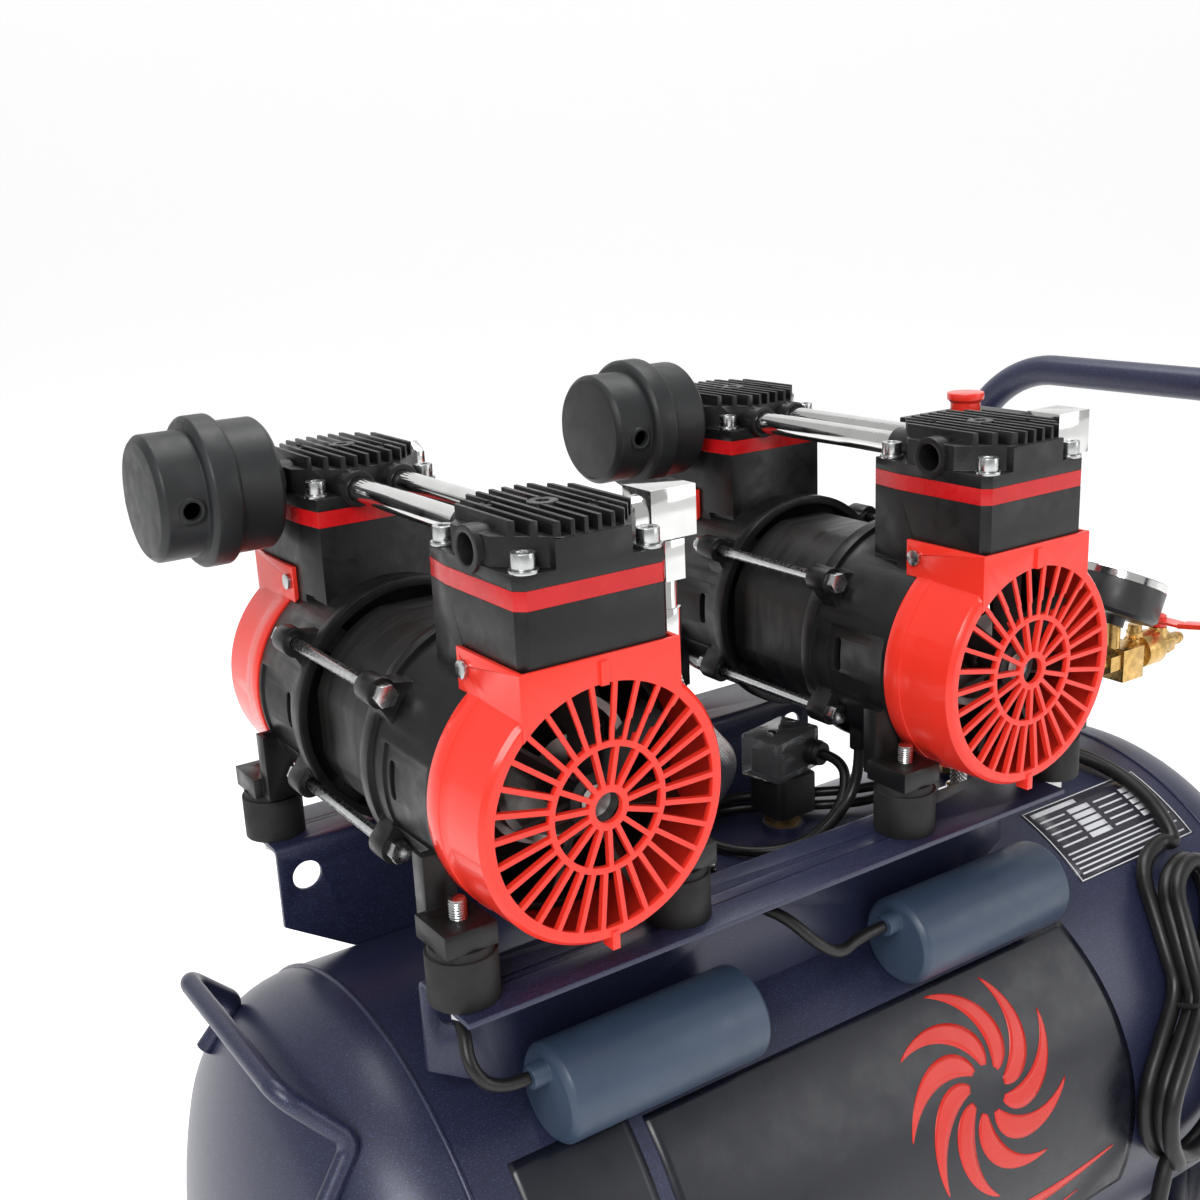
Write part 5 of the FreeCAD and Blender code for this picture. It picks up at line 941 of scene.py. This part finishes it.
class COMPRESSOR_OT_decals(PieceOperator, bpy.types.Operator):
    """Makes the rating label, the side decal and its plain curved emblem."""
    bl_idname = "compressor.decals"
    bl_label = "Decals"

    def execute(self, context):
        colours, sizes = self.settings(context)
        self.radius = sizes.tank_radius + 0.0001
        self.film = sizes.film
        self.side_decal(printed("decal_ground", tuple(colours.decal), 0.30),
                        printed("emblem_red", tuple(colours.emblem), 0.30))
        self.rating_label()
        return {"FINISHED"}

    def side_decal(self, ground, red):
        """Dark ground with a bowed right edge, a ring of curved blades and two tapering stripes."""
        left = lambda lean: np.full_like(lean, ORIGIN[0] + 0.028)
        bow = lambda lean: ORIGIN[0] + 0.329 + 0.022 * np.cos((lean - 0.20) * 1.9)
        tank_patch("side_decal", left, bow, math.radians(-12), math.radians(46), self.radius, ground,
                   self.film, 48, 60)
        left_panel = lambda lean: np.full_like(lean, ORIGIN[0] - 0.046)
        right_panel = lambda lean: np.full_like(lean, ORIGIN[0] + 0.020)
        tank_patch("small_decal", left_panel, right_panel, math.radians(-12), math.radians(48),
                   self.radius, ground, self.film, 32, 16)
        hub, lean = ORIGIN[0] + 0.235, math.radians(24)
        for blade in range(9):
            self.blade(f"emblem_blade_{blade + 1}", hub, lean, blade * 2 * math.pi / 9, red)
        stripes = [(0.060, 0.330, -0.5, 3.4), (0.095, 0.300, -6.5, 2.0)]
        for index, (start, end, low, thick) in enumerate(stripes):
            self.stripe(f"emblem_stripe_{index + 1}", start, end, low, thick, red)

    def blade(self, name, hub, lean, turn, red):
        """A crescent: its middle swings out from the hub while its width rises and falls as a sine."""
        share = np.linspace(0, 1, 28)[:, None]
        side = np.linspace(1, -1, 5)[None]
        reach = 0.013 + 0.048 * share
        swing = turn + 1.15 * share ** 1.3
        width = 0.0085 * np.sin(np.pi * np.clip(share * 0.93 + 0.05, 0, 1)) ** 0.8
        angle = swing + side * width / reach
        along = hub + reach * np.cos(angle)
        rise = reach * np.sin(angle)
        grid = on_tank(along, lean + rise / self.radius, self.radius + self.film)
        film_patch(name, grid, red, self.film)

    def stripe(self, name, start, end, low, thick, red):
        """A stripe along the barrel whose lean dips in a slow wave and whose width tapers to both ends."""
        share = np.linspace(0, 1, 60)[:, None]
        side = np.linspace(1, -1, 4)[None]
        along = ORIGIN[0] + start + (end - start) * share
        half = thick * (0.12 + 0.88 * np.sin(np.pi * share)) / 2
        lean = low + 2.2 * np.sin(share * 2 * np.pi) + side * half
        film_patch(name, on_tank(along + 0 * side, np.radians(lean), self.radius + self.film), red,
                   self.film)

    def rating_label(self):
        """Dark label: pale border, header line, two columns of blank boxes with short rules, long rules."""
        dark = printed("label_dark", (0.026, 0.025, 0.036), 0.30)
        pale = printed("label_pale", (0.62, 0.63, 0.66), 0.35)
        start, length, low, rise = 0.372, 0.113, 51.0, 19.5

        def patch(name, along, across, material, layer):
            """Part of the label, from and to given as shares of its length and of its width downwards."""
            sides = [ORIGIN[0] + start + length * share for share in along]
            left, right = (lambda lean, side=side: np.full_like(lean, side) for side in sides)
            top, bottom = (low + rise * (1 - share) for share in across)
            self.bar(name, left, right, bottom, top, material, layer)

        patch("rating_label", (0, 1), (0, 1), dark, 0)
        patch("label_border_1", (0.010, 0.990), (0.010, 0.022), pale, 1)
        patch("label_border_2", (0.010, 0.990), (0.978, 0.990), pale, 1)
        patch("label_border_3", (0.010, 0.017), (0.022, 0.978), pale, 1)
        patch("label_border_4", (0.983, 0.990), (0.022, 0.978), pale, 1)
        patch("label_header", (0.05, 0.42), (0.06, 0.12), pale, 1)
        for column, (first, last) in enumerate([(0.30, 0.48), (0.76, 0.94)], start=1):
            for row in range(5):
                top = 0.17 + 0.09 * row
                patch(f"label_box_{column}{row + 1}", (first, last), (top, top + 0.065), pale, 1)
                patch(f"label_note_{column}{row + 1}", (first - 0.24, first - 0.03),
                      (top + 0.022, top + 0.044), pale, 1)
        for rule in range(5):
            top = 0.66 + 0.062 * rule
            patch(f"label_rule_{rule + 1}", (0.05, 0.95 - 0.18 * (rule % 2)), (top, top + 0.020), pale, 1)

    def bar(self, name, left, right, low, high, material, layer):
        """A plain rectangle of film on the barrel, raised by its layer."""
        tank_patch(name, left, right, math.radians(low), math.radians(high),
                   self.radius + layer * self.film, material, self.film, 8, 6)


class COMPRESSOR_OT_stage(PieceOperator, bpy.types.Operator):
    """Sets the floor, the soft lights and the camera."""
    bl_idname = "compressor.stage"
    bl_label = "Stage"

    def execute(self, context):
        stage = context.scene.compressor_stage
        self.floor()
        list(self.lights())
        self.camera(context, stage)
        self.sky(context)
        return {"FINISHED"}

    @staticmethod
    def floor():
        """A pale floor that sweeps up behind: a level run, a quarter round and a wall."""
        level = np.array([(-7.0, 0.0), (5.0, 0.0)])
        bend = np.linspace(0, np.pi / 2, 24)
        round_part = np.column_stack([5.0 + 3.0 * np.sin(bend), 3.0 - 3.0 * np.cos(bend)])
        profile = np.concatenate([level[:1], round_part, [(8.0, 9.0)]])
        across = np.linspace(-12, 12, 3)
        heading = math.radians(33.31)
        ahead = np.array([math.sin(heading), math.cos(heading), 0])
        aside = np.array([math.cos(heading), -math.sin(heading), 0])
        grid = (profile[:, None, :1] * ahead + across[None, :, None] * aside
                + profile[:, None, 1:] * np.array([0, 0, 1.0]))
        mesh = bpy.data.meshes.new("floor")
        quads, _, _ = sheet_of_quads(len(profile), 3, False)
        mesh.from_pydata(grid.reshape(-1, 3).tolist(), [], quads.tolist())
        mesh.polygons.foreach_set("use_smooth", np.ones(len(mesh.polygons), dtype=bool))
        white, surface = shader("floor_white", (0.80, 0.80, 0.80), 0.9, shine=0.2)
        surface.inputs["Emission Color"].default_value = (1, 1, 1, 1)
        surface.inputs["Emission Strength"].default_value = 0.42
        mesh.materials.append(white)
        piece = bpy.data.objects.new("floor", mesh)
        bpy.context.scene.collection.objects.link(piece)
        return piece

    @staticmethod
    def lights():
        """A large soft key from the upper left, a fill from the right and a top light."""
        made = []
        plan = (("key", (-1.9, -1.5, 2.3), 50, 1.3), ("fill", (1.9, -2.2, 1.2), 14, 1.6),
                ("top", (0.3, 0.5, 2.6), 34, 1.6))
        for name, place, power, size in plan:
            data = bpy.data.lights.new(name, "AREA")
            data.energy = power
            data.size = size
            lamp = bpy.data.objects.new(name, data)
            aim = Vector((0, 0, 0.4)) - Vector(place)
            lamp.matrix_world = Matrix.Translation(place) @ aim.to_track_quat("-Z", "Y").to_matrix().to_4x4()
            bpy.context.scene.collection.objects.link(lamp)
            made.append(lamp)
        return made

    @staticmethod
    def camera(context, stage):
        """The camera, turned by its heading, dip and roll."""
        ahead = np.array([math.sin(stage.heading) * math.cos(stage.dip),
                          math.cos(stage.heading) * math.cos(stage.dip), -math.sin(stage.dip)])
        right = np.array([math.cos(stage.heading), -math.sin(stage.heading), 0])
        up = np.cross(right, ahead)
        turned_right = right * math.cos(stage.roll) + up * math.sin(stage.roll)
        turned_up = up * math.cos(stage.roll) - right * math.sin(stage.roll)
        data = bpy.data.cameras.new("camera")
        data.lens = stage.lens
        data.sensor_width = 36
        data.clip_start = 0.02
        eye = bpy.data.objects.new("camera", data)
        turn = Matrix(np.column_stack([turned_right, turned_up, -ahead]).tolist()).to_4x4()
        eye.matrix_world = Matrix.Translation(Vector(stage.eye)) @ turn
        context.scene.collection.objects.link(eye)
        context.scene.camera = eye
        return eye

    @staticmethod
    def sky(context):
        """Even white surroundings."""
        world = bpy.data.worlds.new("studio")
        world.use_nodes = True
        world.node_tree.nodes["Background"].inputs["Color"].default_value = (1, 1, 1, 1)
        world.node_tree.nodes["Background"].inputs["Strength"].default_value = 0.55
        context.scene.world = world
        context.scene.view_settings.view_transform = "Standard"


OPERATORS = (COMPRESSOR_OT_stage, COMPRESSOR_OT_power_cord, COMPRESSOR_OT_leads, COMPRESSOR_OT_hoses,
             COMPRESSOR_OT_pumps, COMPRESSOR_OT_frame, COMPRESSOR_OT_fittings, COMPRESSOR_OT_gauge,
             COMPRESSOR_OT_decals, COMPRESSOR_OT_start_valve, COMPRESSOR_OT_stud_threads)
SETTINGS = (CompressorColours, CompressorSizes, CompressorStage)


class COMPRESSOR_PT_panel(bpy.types.Panel):
    """Lists the compressor's pieces and their settings."""
    bl_label = "Compressor"
    bl_idname = "COMPRESSOR_PT_panel"
    bl_space_type = "VIEW_3D"
    bl_region_type = "UI"
    bl_category = "Compressor"

    def draw(self, context):
        scene = context.scene
        for group in (scene.compressor_colours, scene.compressor_sizes, scene.compressor_stage):
            box = self.layout.box()
            for name in group.__annotations__:
                box.prop(group, name)
        for operator in OPERATORS:
            self.layout.operator(operator.bl_idname)


def register():
    for kind in (*SETTINGS, *OPERATORS, COMPRESSOR_PT_panel):
        bpy.utils.register_class(kind)
    bpy.types.Scene.compressor_colours = bpy.props.PointerProperty(type=CompressorColours)
    bpy.types.Scene.compressor_sizes = bpy.props.PointerProperty(type=CompressorSizes)
    bpy.types.Scene.compressor_stage = bpy.props.PointerProperty(type=CompressorStage)


def unregister():
    del bpy.types.Scene.compressor_stage
    del bpy.types.Scene.compressor_sizes
    del bpy.types.Scene.compressor_colours
    for kind in (COMPRESSOR_PT_panel, *reversed(OPERATORS), *reversed(SETTINGS)):
        bpy.utils.unregister_class(kind)


def main():
    """Makes every piece in order."""
    register()
    bpy.ops.compressor.stage()
    bpy.ops.compressor.power_cord()
    bpy.ops.compressor.leads()
    bpy.ops.compressor.hoses()
    bpy.ops.compressor.pumps()
    bpy.ops.compressor.frame()
    bpy.ops.compressor.fittings()
    bpy.ops.compressor.gauge()
    bpy.ops.compressor.decals()
    bpy.ops.compressor.start_valve()
    bpy.ops.compressor.stud_threads()


if __name__ == "__main__":
    main()
